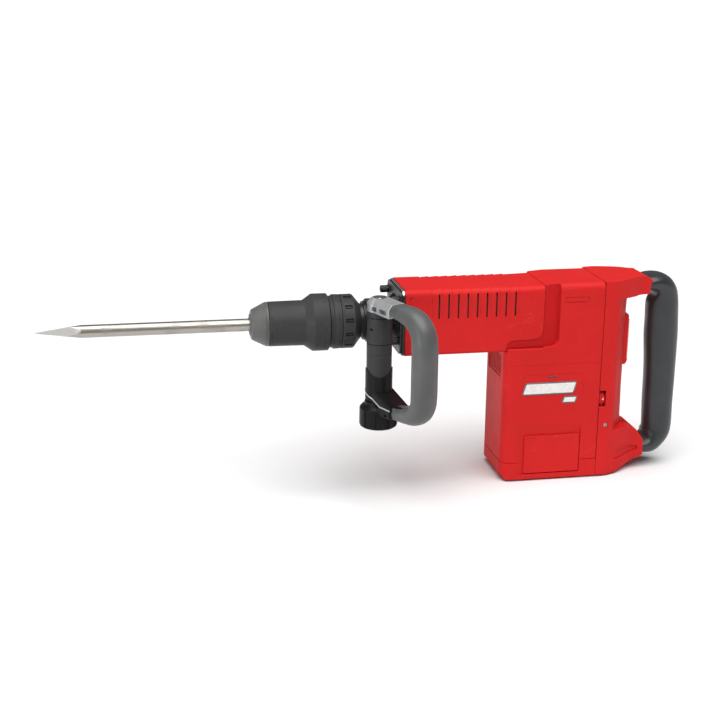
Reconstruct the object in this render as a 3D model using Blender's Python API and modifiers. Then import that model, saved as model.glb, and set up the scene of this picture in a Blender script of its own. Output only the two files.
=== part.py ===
"""Electric demolition hammer with a point chisel, a swivelling side handle and a D-shaped rear handle.

Lengths in this script are millimetres in the tool's own frame: X runs along the tool axis from the
nose of the tool holder (0) to the rear handle, +Y is the tool's left side, and Z is up from the
tool axis. The world frame is metres, with its origin under the motor axis at the foot of the motor.
"""

import math

import bmesh
import bpy
from mathutils import Matrix, Vector

MM = 0.001

# Fits
FIT = 0.4  # between pieces that touch or run on each other
SEAM = 0.3  # the open line between two casing halves

# Chisel and tool holder
SHANK_R = 9.0
SHAFT_R = 8.6
CHISEL_REACH = 283.0
CHISEL_INSERTED = 117.0
POINT_LENGTH = 67.0
CHISEL_PLAY = 14.0
HOLDER_R = 19.5
SLEEVE_R = 30.5
SLEEVE_SKIRT_R = 39.2
SLEEVE_TRAVEL = 12.0
RING_R = 36.0
RING_NOTCHES = 12
RING_TRAVEL = 4.0

# Neck and barrel
NECK_FRONT = 147.0
NECK_R = 23.6
BARREL_FRONT = 205.0
BARREL_LENGTH = 195.5
BARREL_HALF = 45.0
BARREL_TOP = 50.0
BARREL_BOTTOM = -42.0
COVER_WALL = 3.0
VENT_COUNT = 9
VENT_PITCH = 13.4

# Crank drive
GEAR_MODULE = 1.25
GEAR_TEETH = 52
PINION_TEETH = 8
CRANK_THROW = 16.0
ROD_LENGTH = 62.0
BORE_R = 15.0
RAM_STROKE = 15.0

# Motor block
MOTOR_DEPTH = 204.0
BLOCK_EXTRA = 5.0
CASE_WALL = 4.0
CAP_HEIGHT = 25.0
FOOT_HEIGHT = 3.0
STACK_TOP = -85.0

# Rear handle
GRIP_HALF = 23.5
PADDLE_LENGTH = 76.0

# Side handle
AUX_X = 168.5
AUX_OFFSET = 50.0
AUX_R = 17.2
AUX_ANGLE = 66.0
AUX_REACH = 101.0
AUX_GRIP_R = 16.7
KNOB_R = 26.0
STUD_R = 4.5

# Derived stations
CHISEL_R = max(SHANK_R, SHAFT_R)
COLLAR_REAR = 106.0 + SLEEVE_TRAVEL + 2.0
CLAMP_FRONT = 154.0 + RING_TRAVEL
BARREL_REAR = BARREL_FRONT + BARREL_LENGTH
MOTOR_X = BARREL_REAR - 3.5
CENTRE_DISTANCE = GEAR_MODULE * (GEAR_TEETH + PINION_TEETH) / 2
CRANK_X = MOTOR_X - CENTRE_DISTANCE
WRIST_X = CRANK_X - math.sqrt(ROD_LENGTH**2 - CRANK_THROW**2)
BLOCK_HALF = BARREL_HALF + BLOCK_EXTRA
BLOCK_FRONT = MOTOR_X - 51.0
SEAM_X = MOTOR_X + 88.6
GEARBOX_HALF = BARREL_HALF - COVER_WALL - 1.0
CYLINDER_REAR = CRANK_X - 39.5
CYLINDER_R = BORE_R + 3.0
AXIS_HEIGHT = MOTOR_DEPTH + CAP_HEIGHT + FOOT_HEIGHT
STACK_BOTTOM = 54.0 - MOTOR_DEPTH
INLET_Z = 42.0 - MOTOR_DEPTH
AUX_DIRECTION = Vector(
    (math.cos(math.radians(AUX_ANGLE)), -math.sin(math.radians(AUX_ANGLE)), 0.0)
)

PARTS = None
CUTTERS = None


# ---------------------------------------------------------------- scene and materials


def start_scene():
    """Empty the scene and make the collections for the pieces and for the cutters."""
    global PARTS, CUTTERS
    for obj in list(bpy.data.objects):
        bpy.data.objects.remove(obj, do_unlink=True)
    PARTS = bpy.data.collections.new("demolition_hammer")
    CUTTERS = bpy.data.collections.new("cutters")
    CUTTERS.hide_render = True
    for collection in (PARTS, CUTTERS):
        bpy.context.scene.collection.children.link(collection)


def finish(name, colour, roughness, metallic=0.0):
    """A Principled material."""
    found = bpy.data.materials.get(name)
    if found:
        return found
    made = bpy.data.materials.new(name)
    made.use_nodes = True
    shader = made.node_tree.nodes["Principled BSDF"]
    shader.inputs["Base Color"].default_value = (*colour, 1.0)
    shader.inputs["Roughness"].default_value = roughness
    shader.inputs["Metallic"].default_value = metallic
    made.diffuse_color = (*colour, 1.0)
    return made


def red_plastic():
    return finish("red_plastic", (0.62, 0.03, 0.03), 0.42)


def dark_plastic():
    return finish("dark_plastic", (0.05, 0.05, 0.055), 0.5)


def soft_rubber():
    return finish("soft_rubber", (0.03, 0.036, 0.038), 0.62)


def steel():
    return finish("steel", (0.46, 0.45, 0.43), 0.32, 1.0)


def dark_steel():
    return finish("dark_steel", (0.06, 0.06, 0.065), 0.38, 0.9)


def cast_metal():
    return finish("cast_metal", (0.62, 0.63, 0.64), 0.45, 1.0)


def copper():
    return finish("copper", (0.72, 0.36, 0.2), 0.4, 1.0)


def brass():
    return finish("brass", (0.7, 0.55, 0.25), 0.35, 1.0)


# ---------------------------------------------------------------- shape toolkit


def place(x, y=0.0, z=0.0):
    """World position in metres of a point in the tool's frame."""
    return Vector(((x - MOTOR_X) * MM, y * MM, (z + AXIS_HEIGHT) * MM))


def new_object(name, mesh, origin, paint, cutter):
    obj = bpy.data.objects.new(name, mesh)
    obj.location = place(*origin)
    (CUTTERS if cutter else PARTS).objects.link(obj)
    if cutter:
        obj.hide_render = True
        obj.display_type = "WIRE"
    elif paint:
        mesh.materials.append(paint)
    return obj


def smooth(mesh):
    mesh.shade_smooth()
    mesh.set_sharp_from_angle(angle=math.radians(32))


def turned(
    name, axis, profile, at=(0.0, 0.0), steps=32, paint=None, cutter=False, origin=None
):
    """A solid of revolution.

    The profile lists (station along the axis, radius): up the outer side, then back down the
    inner side for a tube. A solid's profile starts and ends at radius 0. The axis is "X" through
    (y, z) = at, or "Z" through (x, y) = at.
    """
    base = profile[0][0] if origin is None else origin
    mesh = bpy.data.meshes.new(name)
    points = [(radius * MM, 0.0, (station - base) * MM) for station, radius in reversed(profile)]
    edges = [(i, i + 1) for i in range(len(points) - 1)]
    if profile[0][1] > 0:
        edges.append((len(points) - 1, 0))
    mesh.from_pydata(points, edges, [])
    centre = (base, *at) if axis == "X" else (*at, base)
    obj = new_object(name, mesh, centre, paint, cutter)
    if axis == "X":
        obj.rotation_euler = (0.0, math.pi / 2, 0.0)
    screw = obj.modifiers.new("turn", "SCREW")
    screw.axis = "Z"
    screw.steps = steps
    screw.render_steps = steps
    screw.use_merge_vertices = True
    screw.merge_threshold = 0.00001
    screw.use_smooth_shade = True
    return obj


def rod(name, axis, low, high, radius, at=(0.0, 0.0), steps=24, paint=None, cutter=False):
    """A plain solid cylinder."""
    profile = [(low, 0.0), (low, radius), (high, radius), (high, 0.0)]
    return turned(name, axis, profile, at, steps, paint, cutter)


def tube(name, axis, low, high, outer, inner, at=(0.0, 0.0), steps=24, paint=None, cutter=False):
    """A plain tube or ring."""
    profile = [(low, outer), (high, outer), (high, inner), (low, inner)]
    return turned(name, axis, profile, at, steps, paint, cutter)


def laid(axis, u, v, w):
    """The point (u, v) of a flat outline at a distance w along the axis."""
    return Vector({"X": (w, u, v), "Y": (u, w, v), "Z": (u, v, w)}[axis])


def plate(name, axis, outline, low, high, origin=(0.0, 0.0, 0.0), paint=None, cutter=False):
    """A flat outline carried along an axis.

    The outline is (y, z) for axis X, (x, z) for axis Y and (x, y) for axis Z.
    """
    centre = Vector(origin)
    bm = bmesh.new()
    corners = [bm.verts.new((laid(axis, u, v, low) - centre) * MM) for u, v in outline]
    face = bm.faces.new(corners)
    grown = bmesh.ops.extrude_face_region(bm, geom=[face])
    moved = [item for item in grown["geom"] if isinstance(item, bmesh.types.BMVert)]
    step = laid(axis, 0.0, 0.0, high - low) * MM
    bmesh.ops.translate(bm, verts=moved, vec=step)
    bmesh.ops.recalc_face_normals(bm, faces=bm.faces)
    mesh = bpy.data.meshes.new(name)
    bm.to_mesh(mesh)
    bm.free()
    smooth(mesh)
    return new_object(name, mesh, origin, paint, cutter)


def box(name, x, y, z, origin=(0.0, 0.0, 0.0), paint=None, cutter=False):
    """A block between two limits on each axis."""
    bm = bmesh.new()
    bmesh.ops.create_cube(bm, size=1.0)
    size = Vector((x[1] - x[0], y[1] - y[0], z[1] - z[0])) * MM
    middle = Vector((x[0] + x[1], y[0] + y[1], z[0] + z[1])) / 2 - Vector(origin)
    bmesh.ops.scale(bm, verts=bm.verts, vec=size)
    bmesh.ops.translate(bm, verts=bm.verts, vec=middle * MM)
    mesh = bpy.data.meshes.new(name)
    bm.to_mesh(mesh)
    bm.free()
    return new_object(name, mesh, origin, paint, cutter)


def boxes(name, limits):
    """One cutter made of several separate blocks."""
    bm = bmesh.new()
    for x, y, z in limits:
        made = bmesh.ops.create_cube(bm, size=1.0)["verts"]
        size = Vector((x[1] - x[0], y[1] - y[0], z[1] - z[0])) * MM
        middle = Vector((x[0] + x[1], y[0] + y[1], z[0] + z[1])) * MM / 2
        bmesh.ops.scale(bm, verts=made, vec=size)
        bmesh.ops.translate(bm, verts=made, vec=middle)
    mesh = bpy.data.meshes.new(name)
    bm.to_mesh(mesh)
    bm.free()
    return new_object(name, mesh, (0.0, 0.0, 0.0), None, True)


def joined(target, tool, operation, solver="EXACT"):
    """Cut, join or intersect with another solid, which becomes a cutter."""
    if PARTS.objects.get(tool.name):
        PARTS.objects.unlink(tool)
        CUTTERS.objects.link(tool)
        tool.hide_render = True
        tool.display_type = "WIRE"
    step = target.modifiers.new(tool.name, "BOOLEAN")
    step.operation = operation
    step.solver = solver
    step.object = tool
    return target


def cut(target, tool, solver="EXACT"):
    return joined(target, tool, "DIFFERENCE", solver)


def fuse(target, tool):
    return joined(target, tool, "UNION")


def keep_common(target, tool):
    return joined(target, tool, "INTERSECT")


def softened(obj, width, segments=2, angle=35.0):
    """Round the sharp edges."""
    step = obj.modifiers.new("edges", "BEVEL")
    step.width = width * MM
    step.segments = segments
    step.limit_method = "ANGLE"
    step.angle_limit = math.radians(angle)
    return obj


def rounded(points, radii, arc=3):
    """An outline with each corner replaced by an arc of its radius."""
    done = []
    count = len(points)
    for i, (x, y) in enumerate(points):
        radius = radii[i] if isinstance(radii, (list, tuple)) else radii
        here = Vector((x, y))
        before = (Vector(points[i - 1]) - here).normalized()
        after = (Vector(points[(i + 1) % count]) - here).normalized()
        if radius <= 0:
            done.append((x, y))
            continue
        half = before.angle(after) / 2
        reach = radius / math.tan(half)
        centre = here + (before + after).normalized() * (radius / math.sin(half))
        first = here + before * reach - centre
        last = here + after * reach - centre
        sweep = first.angle_signed(last)
        for k in range(arc + 1):
            turn = -sweep * k / arc
            c, s = math.cos(turn), math.sin(turn)
            done.append((centre.x + first.x * c - first.y * s, centre.y + first.x * s + first.y * c))
    return done


def rectangle(u0, u1, v0, v1, radii=0.0, arc=3):
    """A rectangle's outline, counter-clockwise from (u0, v0)."""
    return rounded([(u0, v0), (u1, v0), (u1, v1), (u0, v1)], radii, arc)


def inset(points, depth):
    """A counter-clockwise outline moved inwards by a depth."""
    done = []
    count = len(points)
    for i, point in enumerate(points):
        here = Vector(point)
        into = (here - Vector(points[i - 1])).normalized()
        out = (Vector(points[(i + 1) % count]) - here).normalized()
        n1 = Vector((-into.y, into.x))
        n2 = Vector((-out.y, out.x))
        bisector = (n1 + n2).normalized()
        moved = here + bisector * (depth / max(0.35, bisector.dot(n1)))
        done.append((moved.x, moved.y))
    return done


def toothed(teeth, root, tip, root_share, tip_share, phase=0.0, centre=(0.0, 0.0)):
    """A gear-like outline with straight-sided teeth. Shares are of the tooth pitch."""
    pitch = 2 * math.pi / teeth
    points = []
    for i in range(teeth):
        middle = phase + i * pitch
        for radius, share in ((root, -root_share), (tip, -tip_share), (tip, tip_share), (root, root_share)):
            angle = middle + share * pitch / 2
            points.append((centre[0] + radius * math.cos(angle), centre[1] + radius * math.sin(angle)))
    return points


def swept(name, stations, forward, origin, wall=0.0, sides=16, paint=None):
    """A grip of changing section along a path in an upright plane.

    Each station is (reach along forward, z, path direction in degrees above forward, half width
    in the plane, half width across it). With a wall the grip is a tube that is open at both ends.
    """
    forward = Vector(forward).normalized()
    up = Vector((0.0, 0.0, 1.0))
    across = up.cross(forward)
    centre = Vector(origin)
    bm = bmesh.new()

    def ring(station, shrink):
        reach, z, slope, half_in, half_across = station
        turn = math.radians(slope)
        normal = -math.sin(turn) * forward + math.cos(turn) * up
        middle = forward * reach + up * z
        row = []
        for k in range(sides):
            angle = 2 * math.pi * (k + 0.5) / sides
            c, s = math.cos(angle), math.sin(angle)
            a = math.copysign(abs(c) ** 0.85, c) * (half_in - shrink)
            b = math.copysign(abs(s) ** 0.85, s) * (half_across - shrink)
            row.append(bm.verts.new((middle + normal * a + across * b) * MM))
        return row

    outer = [ring(station, 0.0) for station in stations]
    skins = [outer]
    if wall:
        skins.append([ring(station, wall) for station in stations])
    for rows in skins:
        for low, high in zip(rows, rows[1:]):
            for k in range(sides):
                n = (k + 1) % sides
                bm.faces.new((low[k], low[n], high[n], high[k]))
    for end in (0, -1):
        if wall:
            for k in range(sides):
                n = (k + 1) % sides
                bm.faces.new((skins[0][end][k], skins[0][end][n], skins[1][end][n], skins[1][end][k]))
        else:
            bm.faces.new(outer[end])
    bmesh.ops.recalc_face_normals(bm, faces=bm.faces)
    mesh = bpy.data.meshes.new(name)
    bm.to_mesh(mesh)
    bm.free()
    smooth(mesh)
    return new_object(name, mesh, (centre.x, centre.y, centre.z), paint, False)


# ---------------------------------------------------------------- chisel and tool holder


def build_chisel():
    """Point chisel: turned shaft and shank, four ground facets, two closed locking grooves."""
    tip = -CHISEL_REACH
    profile = [
        (tip - 4.0, 0.0),
        (tip - 4.0, SHAFT_R),
        (6.0, SHAFT_R),
        (8.0, SHANK_R),
        (CHISEL_INSERTED - 2.0, SHANK_R),
        (CHISEL_INSERTED, SHANK_R - 2.0),
        (CHISEL_INSERTED, 0.0),
    ]
    chisel = turned("chisel", "X", profile, steps=24, paint=steel(), origin=0.0)
    length = CHISEL_REACH + CHISEL_INSERTED + 40.0
    bm = bmesh.new()
    spread = (SHAFT_R + 0.4) * length / POINT_LENGTH * math.sqrt(2)
    bmesh.ops.create_cone(
        bm, cap_ends=True, segments=4, radius1=spread * MM, radius2=0.0004, depth=length * MM
    )
    bmesh.ops.rotate(bm, verts=bm.verts, matrix=turn_about("Z", 45.0 + 18.0))
    bmesh.ops.rotate(bm, verts=bm.verts, matrix=turn_about("Y", -90.0))
    mesh = bpy.data.meshes.new("point")
    bm.to_mesh(mesh)
    bm.free()
    point = new_object("point", mesh, (tip + length / 2, 0.0, 0.0), None, True)
    keep_common(chisel, point)
    grooves = boxes(
        "lock_grooves",
        [((59.0, 59.0 + 22.0 + CHISEL_PLAY), side, (-3.4, 3.4))
        for side in ((6.2, 12.0), (-12.0, -6.2))]
    )
    cut(chisel, grooves)


def turn_about(axis, degrees):
    return Matrix.Rotation(math.radians(degrees), 3, axis)


def build_holder():
    """Hardened tool holder with its dust cap, locking bars and retaining collar."""
    bore = SHANK_R + FIT
    rear_bore = 13.5
    rear = BARREL_FRONT - 7.0
    profile = [
        (9.0, HOLDER_R - 1.0),
        (10.0, HOLDER_R),
        (rear, HOLDER_R),
        (rear, rear_bore),
        (CHISEL_INSERTED + 1.0, rear_bore),
        (CHISEL_INSERTED + 1.0, bore),
        (9.0, bore),
    ]
    holder = turned("tool_holder", "X", profile, steps=24, paint=steel(), origin=0.0)
    windows = boxes(
        "lock_windows",
        [
            ((60.0 - FIT, 80.0 + FIT), side, (-3.0 - FIT, 3.0 + FIT))
            for side in ((5.0, 30.0), (-30.0, -5.0))
        ],
    )
    cut(holder, windows)
    for name, low, high in (("lock_bar_left", 6.8, 19.0), ("lock_bar_right", -19.0, -6.8)):
        softened(box(name, (60.0, 80.0), (low, high), (-3.0, 3.0), paint=dark_steel()), 0.8, 1)
    nose = HOLDER_R + FIT
    cap = [
        (-1.0, 14.6),
        (0.6, 15.4),
        (1.0, 20.4),
        (19.7, SLEEVE_R - 0.5),
        (22.0, SLEEVE_R - 0.5),
        (22.0, nose),
        (8.6, nose),
        (8.6, CHISEL_R + 1.2),
        (-1.0, CHISEL_R + 0.8),
    ]
    turned("dust_cap", "X", cap, steps=30, paint=soft_rubber(), origin=0.0)
    collar = [
        (106.0, SLEEVE_SKIRT_R - 3.7),
        (111.0, SLEEVE_SKIRT_R - 3.7),
        (112.0, SLEEVE_SKIRT_R - 2.0),
        (COLLAR_REAR, SLEEVE_SKIRT_R - 2.0),
        (COLLAR_REAR, nose),
        (106.0, nose),
    ]
    turned("retaining_collar", "X", collar, steps=32, paint=dark_plastic(), origin=106.0)


def build_lock_sleeve():
    """Sliding sleeve that frees the chisel when it is drawn back."""
    skirt_in = SLEEVE_SKIRT_R - 1.4
    profile = [
        (23.8, SLEEVE_R - 0.8),
        (24.8, SLEEVE_R),
        (72.8, SLEEVE_R),
        (84.0, SLEEVE_SKIRT_R),
        (104.0, SLEEVE_SKIRT_R),
        (105.0, SLEEVE_SKIRT_R - 0.8),
        (105.0, skirt_in),
        (85.0, skirt_in),
        (72.0, SLEEVE_R - 3.0),
        (46.0, SLEEVE_R - 3.0),
        (44.0, HOLDER_R + FIT),
        (23.8, HOLDER_R + FIT),
    ]
    turned("lock_sleeve", "X", profile, steps=32, paint=dark_plastic(), origin=24.0)


def build_angle_ring():
    """Notched ring that sets the chisel's angle."""
    rear_in = NECK_R + 0.7
    profile = [
        (122.0, RING_R - 0.8),
        (123.0, RING_R),
        (139.0, RING_R),
        (149.0, rear_in + 1.2),
        (149.0, rear_in),
        (142.0, rear_in),
        (138.0, RING_R - 6.0),
        (127.0, RING_R - 4.5),
        (127.0, HOLDER_R + FIT),
        (122.0, HOLDER_R + FIT),
    ]
    ring = turned("angle_ring", "X", profile, steps=36, paint=dark_plastic(), origin=122.0)
    bm = bmesh.new()
    for i in range(RING_NOTCHES):
        made = bmesh.ops.create_cube(bm, size=1.0)["verts"]
        bmesh.ops.scale(bm, verts=made, vec=Vector((10.0, 4.6, 4.0)) * MM)
        bmesh.ops.translate(bm, verts=made, vec=Vector((131.0, 0.0, RING_R + 0.6)) * MM)
        turn = turn_about("X", 360.0 * (i + 0.5) / RING_NOTCHES)
        bmesh.ops.rotate(bm, verts=made, matrix=turn)
    mesh = bpy.data.meshes.new("ring_notches")
    bm.to_mesh(mesh)
    bm.free()
    cut(ring, new_object("ring_notches", mesh, (0.0, 0.0, 0.0), None, True))


# ---------------------------------------------------------------- neck, gearbox and barrel cover


def screw_places():
    """The four flange screws' (y, z)."""
    side = BARREL_HALF - 11.0
    return [(side, 35.0), (-side, 35.0), (side, -22.0), (-side, -22.0)]


def build_neck():
    """Aluminium neck with its flange, and the four cap screws that hold it."""
    inner = HOLDER_R + 2 * FIT
    plate_front = BARREL_FRONT - 7.0
    neck = turned(
        "neck_flange",
        "X",
        [
            (NECK_FRONT, NECK_R - 0.6),
            (NECK_FRONT + 0.6, NECK_R),
            (183.0, NECK_R),
            (plate_front + 1.0, NECK_R + 9.0),
            (BARREL_FRONT - 1.0, NECK_R + 9.0),
            (BARREL_FRONT - 1.0, inner),
            (NECK_FRONT, inner),
        ],
        steps=32,
        paint=cast_metal(),
        origin=NECK_FRONT,
    )
    half = BARREL_HALF - 2.0
    outline = rectangle(-half, half, BARREL_BOTTOM + 2.0, BARREL_TOP - 2.0, 9.0)
    flange = plate("flange_plate", "X", outline, plate_front, BARREL_FRONT - FIT, cutter=True)
    cut(
        flange,
        rod("flange_bore", "X", plate_front - 9.0, BARREL_FRONT + 9.0, NECK_R + 4.0, steps=32, cutter=True),
    )
    fuse(neck, flange)
    for index, (y, z) in enumerate(screw_places()):
        head = plate_front - FIT
        hole = [
            (head - 18.0, 0.0),
            (head - 18.0, 5.4 + FIT),
            (plate_front - 0.05, 5.4 + FIT),
            (plate_front - 0.05, 3.4),
            (BARREL_FRONT + 19.4, 3.4),
            (BARREL_FRONT + 19.4, 0.0),
        ]
        cut(neck, turned(f"flange_hole_{index + 1}", "X", hole, (y, z), 12, cutter=True))
        profile = [
            (head - 11.5, 0.0),
            (head - 11.5, 4.8),
            (head - 10.7, 5.4),
            (head, 5.4),
            (head, 3.0),
            (BARREL_FRONT + 18.0, 3.0),
            (BARREL_FRONT + 18.0, 0.0),
        ]
        turned(f"flange_screw_{index + 1}", "X", profile, (y, z), 12, dark_steel(), origin=head)


def build_gearbox():
    """Gearbox casting: cylinder bore, crank chamber, and the seats for the two upper bearings."""
    front = BARREL_FRONT + 2.0
    rear = MOTOR_X + 31.0
    low = BARREL_BOTTOM + 4.0
    high = BARREL_TOP - COVER_WALL - 1.0
    outline = rectangle(-GEARBOX_HALF, GEARBOX_HALF, low, high, 8.0)
    case = plate("gearbox_housing", "X", outline, front, rear, paint=cast_metal())
    fuse(case, rod("motor_boss", "Z", low - 19.0, low + 2.0, 18.0, (MOTOR_X, 0.0), 32, cutter=True))
    cut(
        case,
        rod("cylinder_seat", "X", front - 5.0, CYLINDER_REAR + 4.0, CYLINDER_R + FIT, steps=24, cutter=True),
        "MANIFOLD",
    )
    chamber = boxes(
        "crank_chamber",
        [
            ((CYLINDER_REAR + 1.5, rear - 6.0), (5.0 - GEARBOX_HALF, GEARBOX_HALF - 5.0), (-26.0, high - 6.0)),
        ],
    )
    cut(case, chamber, "MANIFOLD")
    crank_seat = rod("crank_seat", "Z", -35.4, -18.0, 16.0 + FIT, (CRANK_X, 0.0), 24, cutter=True)
    cut(case, crank_seat, "MANIFOLD")
    seat = [
        (low - 30.0, 0.0),
        (low - 30.0, 13.0 + FIT),
        (low - 8.8, 13.0 + FIT),
        (low - 8.8, 8.5),
        (-20.0, 8.5),
        (-20.0, 0.0),
    ]
    cut(case, turned("upper_seat", "Z", seat, (MOTOR_X, 0.0), 24, cutter=True), "MANIFOLD")
    for index, (y, z) in enumerate(screw_places()):
        hole = rod(
            f"gearbox_hole_{index + 1}", "X", front - 5.0, BARREL_FRONT + 18.6, 3.4, (y, z), 12, cutter=True
        )
        cut(case, hole, "MANIFOLD")
    tube("crank_bearing", "Z", -35.0, -27.0, 16.0, 8.0 + FIT, (CRANK_X, 0.0), 24, dark_steel())
    tube(
        "motor_bearing_upper", "Z", low - 18.6, low - 9.4, 13.0, 5.0 + FIT, (MOTOR_X, 0.0), 24, dark_steel()
    )


def build_barrel_cover():
    """Red cover over the gearbox, open at both ends, with vent slots on both sides."""
    outline = rectangle(-BARREL_HALF, BARREL_HALF, BARREL_BOTTOM, BARREL_TOP, [5.0, 5.0, 9.0, 9.0])
    rear = BARREL_REAR
    cover = plate("barrel_cover", "X", outline, BARREL_FRONT, rear, paint=red_plastic())
    inner = plate(
        "cover_hollow", "X", inset(outline, COVER_WALL), BARREL_FRONT - 5.0, rear + 5.0, cutter=True
    )
    cut(cover, inner)
    first = BARREL_FRONT + 45.2
    slots = [
        ((first + i * VENT_PITCH - 1.2, first + i * VENT_PITCH + 1.2), (-60.0, 60.0), (11.5, 42.5 - 4.0))
        for i in range(VENT_COUNT)
    ]
    cut(cover, boxes("vent_slots", slots))
    boss = [((MOTOR_X - 19.0, rear + 5.0), (-19.0, 19.0), (BARREL_BOTTOM - 5.0, BARREL_BOTTOM + 4.5))]
    cut(cover, boxes("boss_notch", boss))


# ---------------------------------------------------------------- hammer mechanism


def build_hammer():
    """Cylinder, ram, piston, connecting rod and the struck bolt in front of them."""
    steel_paint = steel()
    tube(
        "cylinder", "X", BARREL_FRONT - 5.0, CYLINDER_REAR, CYLINDER_R, BORE_R, steps=24, paint=steel_paint
    )
    sliding = BORE_R - FIT
    ram_rear = WRIST_X - 37.6
    ram = [
        (ram_rear - 54.0, 0.0),
        (ram_rear - 54.0, 8.0),
        (ram_rear - 46.0, 9.0),
        (ram_rear - 46.0, sliding - 1.0),
        (ram_rear - 45.0, sliding),
        (ram_rear, sliding),
        (ram_rear, 0.0),
    ]
    turned("ram", "X", ram, steps=24, paint=steel_paint, origin=ram_rear)
    bolt_front = CHISEL_INSERTED + 1.0
    bolt_rear = ram_rear - 54.0 - RAM_STROKE - 3.0
    bolt = [
        (bolt_front, 0.0),
        (bolt_front, SHANK_R - 1.4),
        (bolt_front + 1.0, SHANK_R - 0.4),
        (150.0, SHANK_R - 0.4),
        (150.0, 13.0),
        (172.0, 13.0),
        (174.0, 10.0),
        (bolt_rear, 10.0),
        (bolt_rear, 0.0),
    ]
    turned("impact_bolt", "X", bolt, steps=24, paint=steel_paint, origin=150.0)
    tube("damping_ring", "X", 175.4, 182.0, 13.0, 10.6, steps=24, paint=soft_rubber())
    front = WRIST_X - 16.6
    skirt = WRIST_X + 8.4
    shape = [
        (front, 0.0),
        (front, sliding),
        (skirt, sliding),
        (skirt, 10.6),
        (WRIST_X - 9.0, 10.6),
        (WRIST_X - 9.0, 0.0),
    ]
    piston = turned("piston", "X", shape, steps=24, paint=cast_metal(), origin=WRIST_X)
    cut(piston, rod("wrist_hole", "Z", -20.0, 20.0, 4.0 + FIT, (WRIST_X, 0.0), 16, cutter=True))
    rod("wrist_pin", "Z", -13.0, 13.0, 4.0, (WRIST_X, 0.0), 16, steel_paint)
    build_connecting_rod()


def build_connecting_rod():
    """Rod from the wrist pin to the crank pin, which it carries. The crank stands at mid stroke."""
    lean = math.asin(CRANK_THROW / ROD_LENGTH)
    along = Vector((math.cos(lean), -math.sin(lean)))
    side = Vector((along.y, -along.x))
    wrist = Vector((WRIST_X, 0.0))
    pin = Vector((CRANK_X, -CRANK_THROW))
    outline = []
    for point in (
        wrist + along * 4.0 + side * 4.0,
        wrist + along * 4.0 - side * 4.0,
        pin - along * 5.0 - side * 4.0,
        pin - along * 5.0 + side * 4.0,
    ):
        outline.append((point.x, point.y))
    arm = plate("connecting_rod", "Z", outline, -4.0, 4.0, (WRIST_X, 0.0, 0.0), cast_metal())
    fuse(arm, rod("small_end", "Z", -5.0, 5.0, 8.2, (wrist.x, wrist.y), 24, cutter=True))
    fuse(arm, rod("big_end", "Z", -5.2, 5.2, 10.0, (pin.x, pin.y), 24, cutter=True))
    fuse(arm, rod("crank_pin_stub", "Z", -7.5, 8.0, 5.0, (pin.x, pin.y), 16, cutter=True))
    cut(arm, rod("small_hole", "Z", -20.0, 20.0, 4.0 + FIT, (wrist.x, wrist.y), 16, cutter=True))


def build_crank():
    """Crank shaft with its disc, and the gear that drives it."""
    profile = [
        (-35.0, 0.0),
        (-35.0, 8.0),
        (-16.5, 8.0),
        (-16.5, 24.0),
        (-8.0, 24.0),
        (-8.0, 0.0),
    ]
    turned("crank_shaft", "Z", profile, (CRANK_X, 0.0), 24, steel(), origin=-16.5)
    pitch_r = GEAR_MODULE * GEAR_TEETH / 2
    outline = toothed(GEAR_TEETH, pitch_r - 1.5, pitch_r + 0.9, 0.4, 0.18, 0.0, (CRANK_X, 0.0))
    gear = plate("crank_gear", "Z", outline, -25.0, -17.0, (CRANK_X, 0.0, -25.0), steel())
    cut(gear, rod("gear_bore", "Z", -40.0, 0.0, 8.0 + FIT, (CRANK_X, 0.0), 24, cutter=True))


# ---------------------------------------------------------------- motor


def build_armature():
    """Armature shaft with its cut pinion, laminated core, commutator and fan."""
    centre = (MOTOR_X, 0.0)
    foot = 9.0 - MOTOR_DEPTH
    profile = [
        (foot, 0.0),
        (foot, 4.5),
        (foot + 1.0, 5.0),
        (-29.0, 5.0),
        (-28.0, 3.4),
        (-27.5, 3.4),
        (-27.5, 0.0),
    ]
    shaft = turned("armature_shaft", "Z", profile, centre, 24, steel(), origin=0.0)
    pitch_r = GEAR_MODULE * PINION_TEETH / 2
    phase = math.pi + math.pi / PINION_TEETH
    outline = toothed(PINION_TEETH, pitch_r - 1.5, pitch_r + 0.9, 0.46, 0.2, phase, centre)
    fuse(shaft, plate("pinion", "Z", outline, -28.5, -15.0, cutter=True))
    slots = toothed(12, 20.0, 26.5, 0.86, 0.7, 0.0, centre)
    core = plate("armature_core", "Z", slots, STACK_BOTTOM, STACK_TOP, (*centre, 0.0), dark_steel())
    cut(
        core, rod("core_bore", "Z", STACK_BOTTOM - 5.0, STACK_TOP + 5.0, 5.0 + FIT, centre, 24, cutter=True)
    )
    low = 16.0 - MOTOR_DEPTH
    tube("commutator", "Z", low, low + 22.0, 14.0, 5.0 + FIT, centre, 24, copper())
    blades = toothed(11, 12.0, 37.0, 0.3, 0.07, 0.0, centre)
    fan = plate("fan", "Z", blades, -72.0, -61.0, (*centre, 0.0), dark_plastic())
    fuse(fan, rod("fan_disc", "Z", -63.0, -60.5, 37.4, centre, 32, cutter=True))
    cut(fan, rod("fan_bore", "Z", -80.0, -50.0, 5.0 + FIT, centre, 24, cutter=True))


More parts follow.
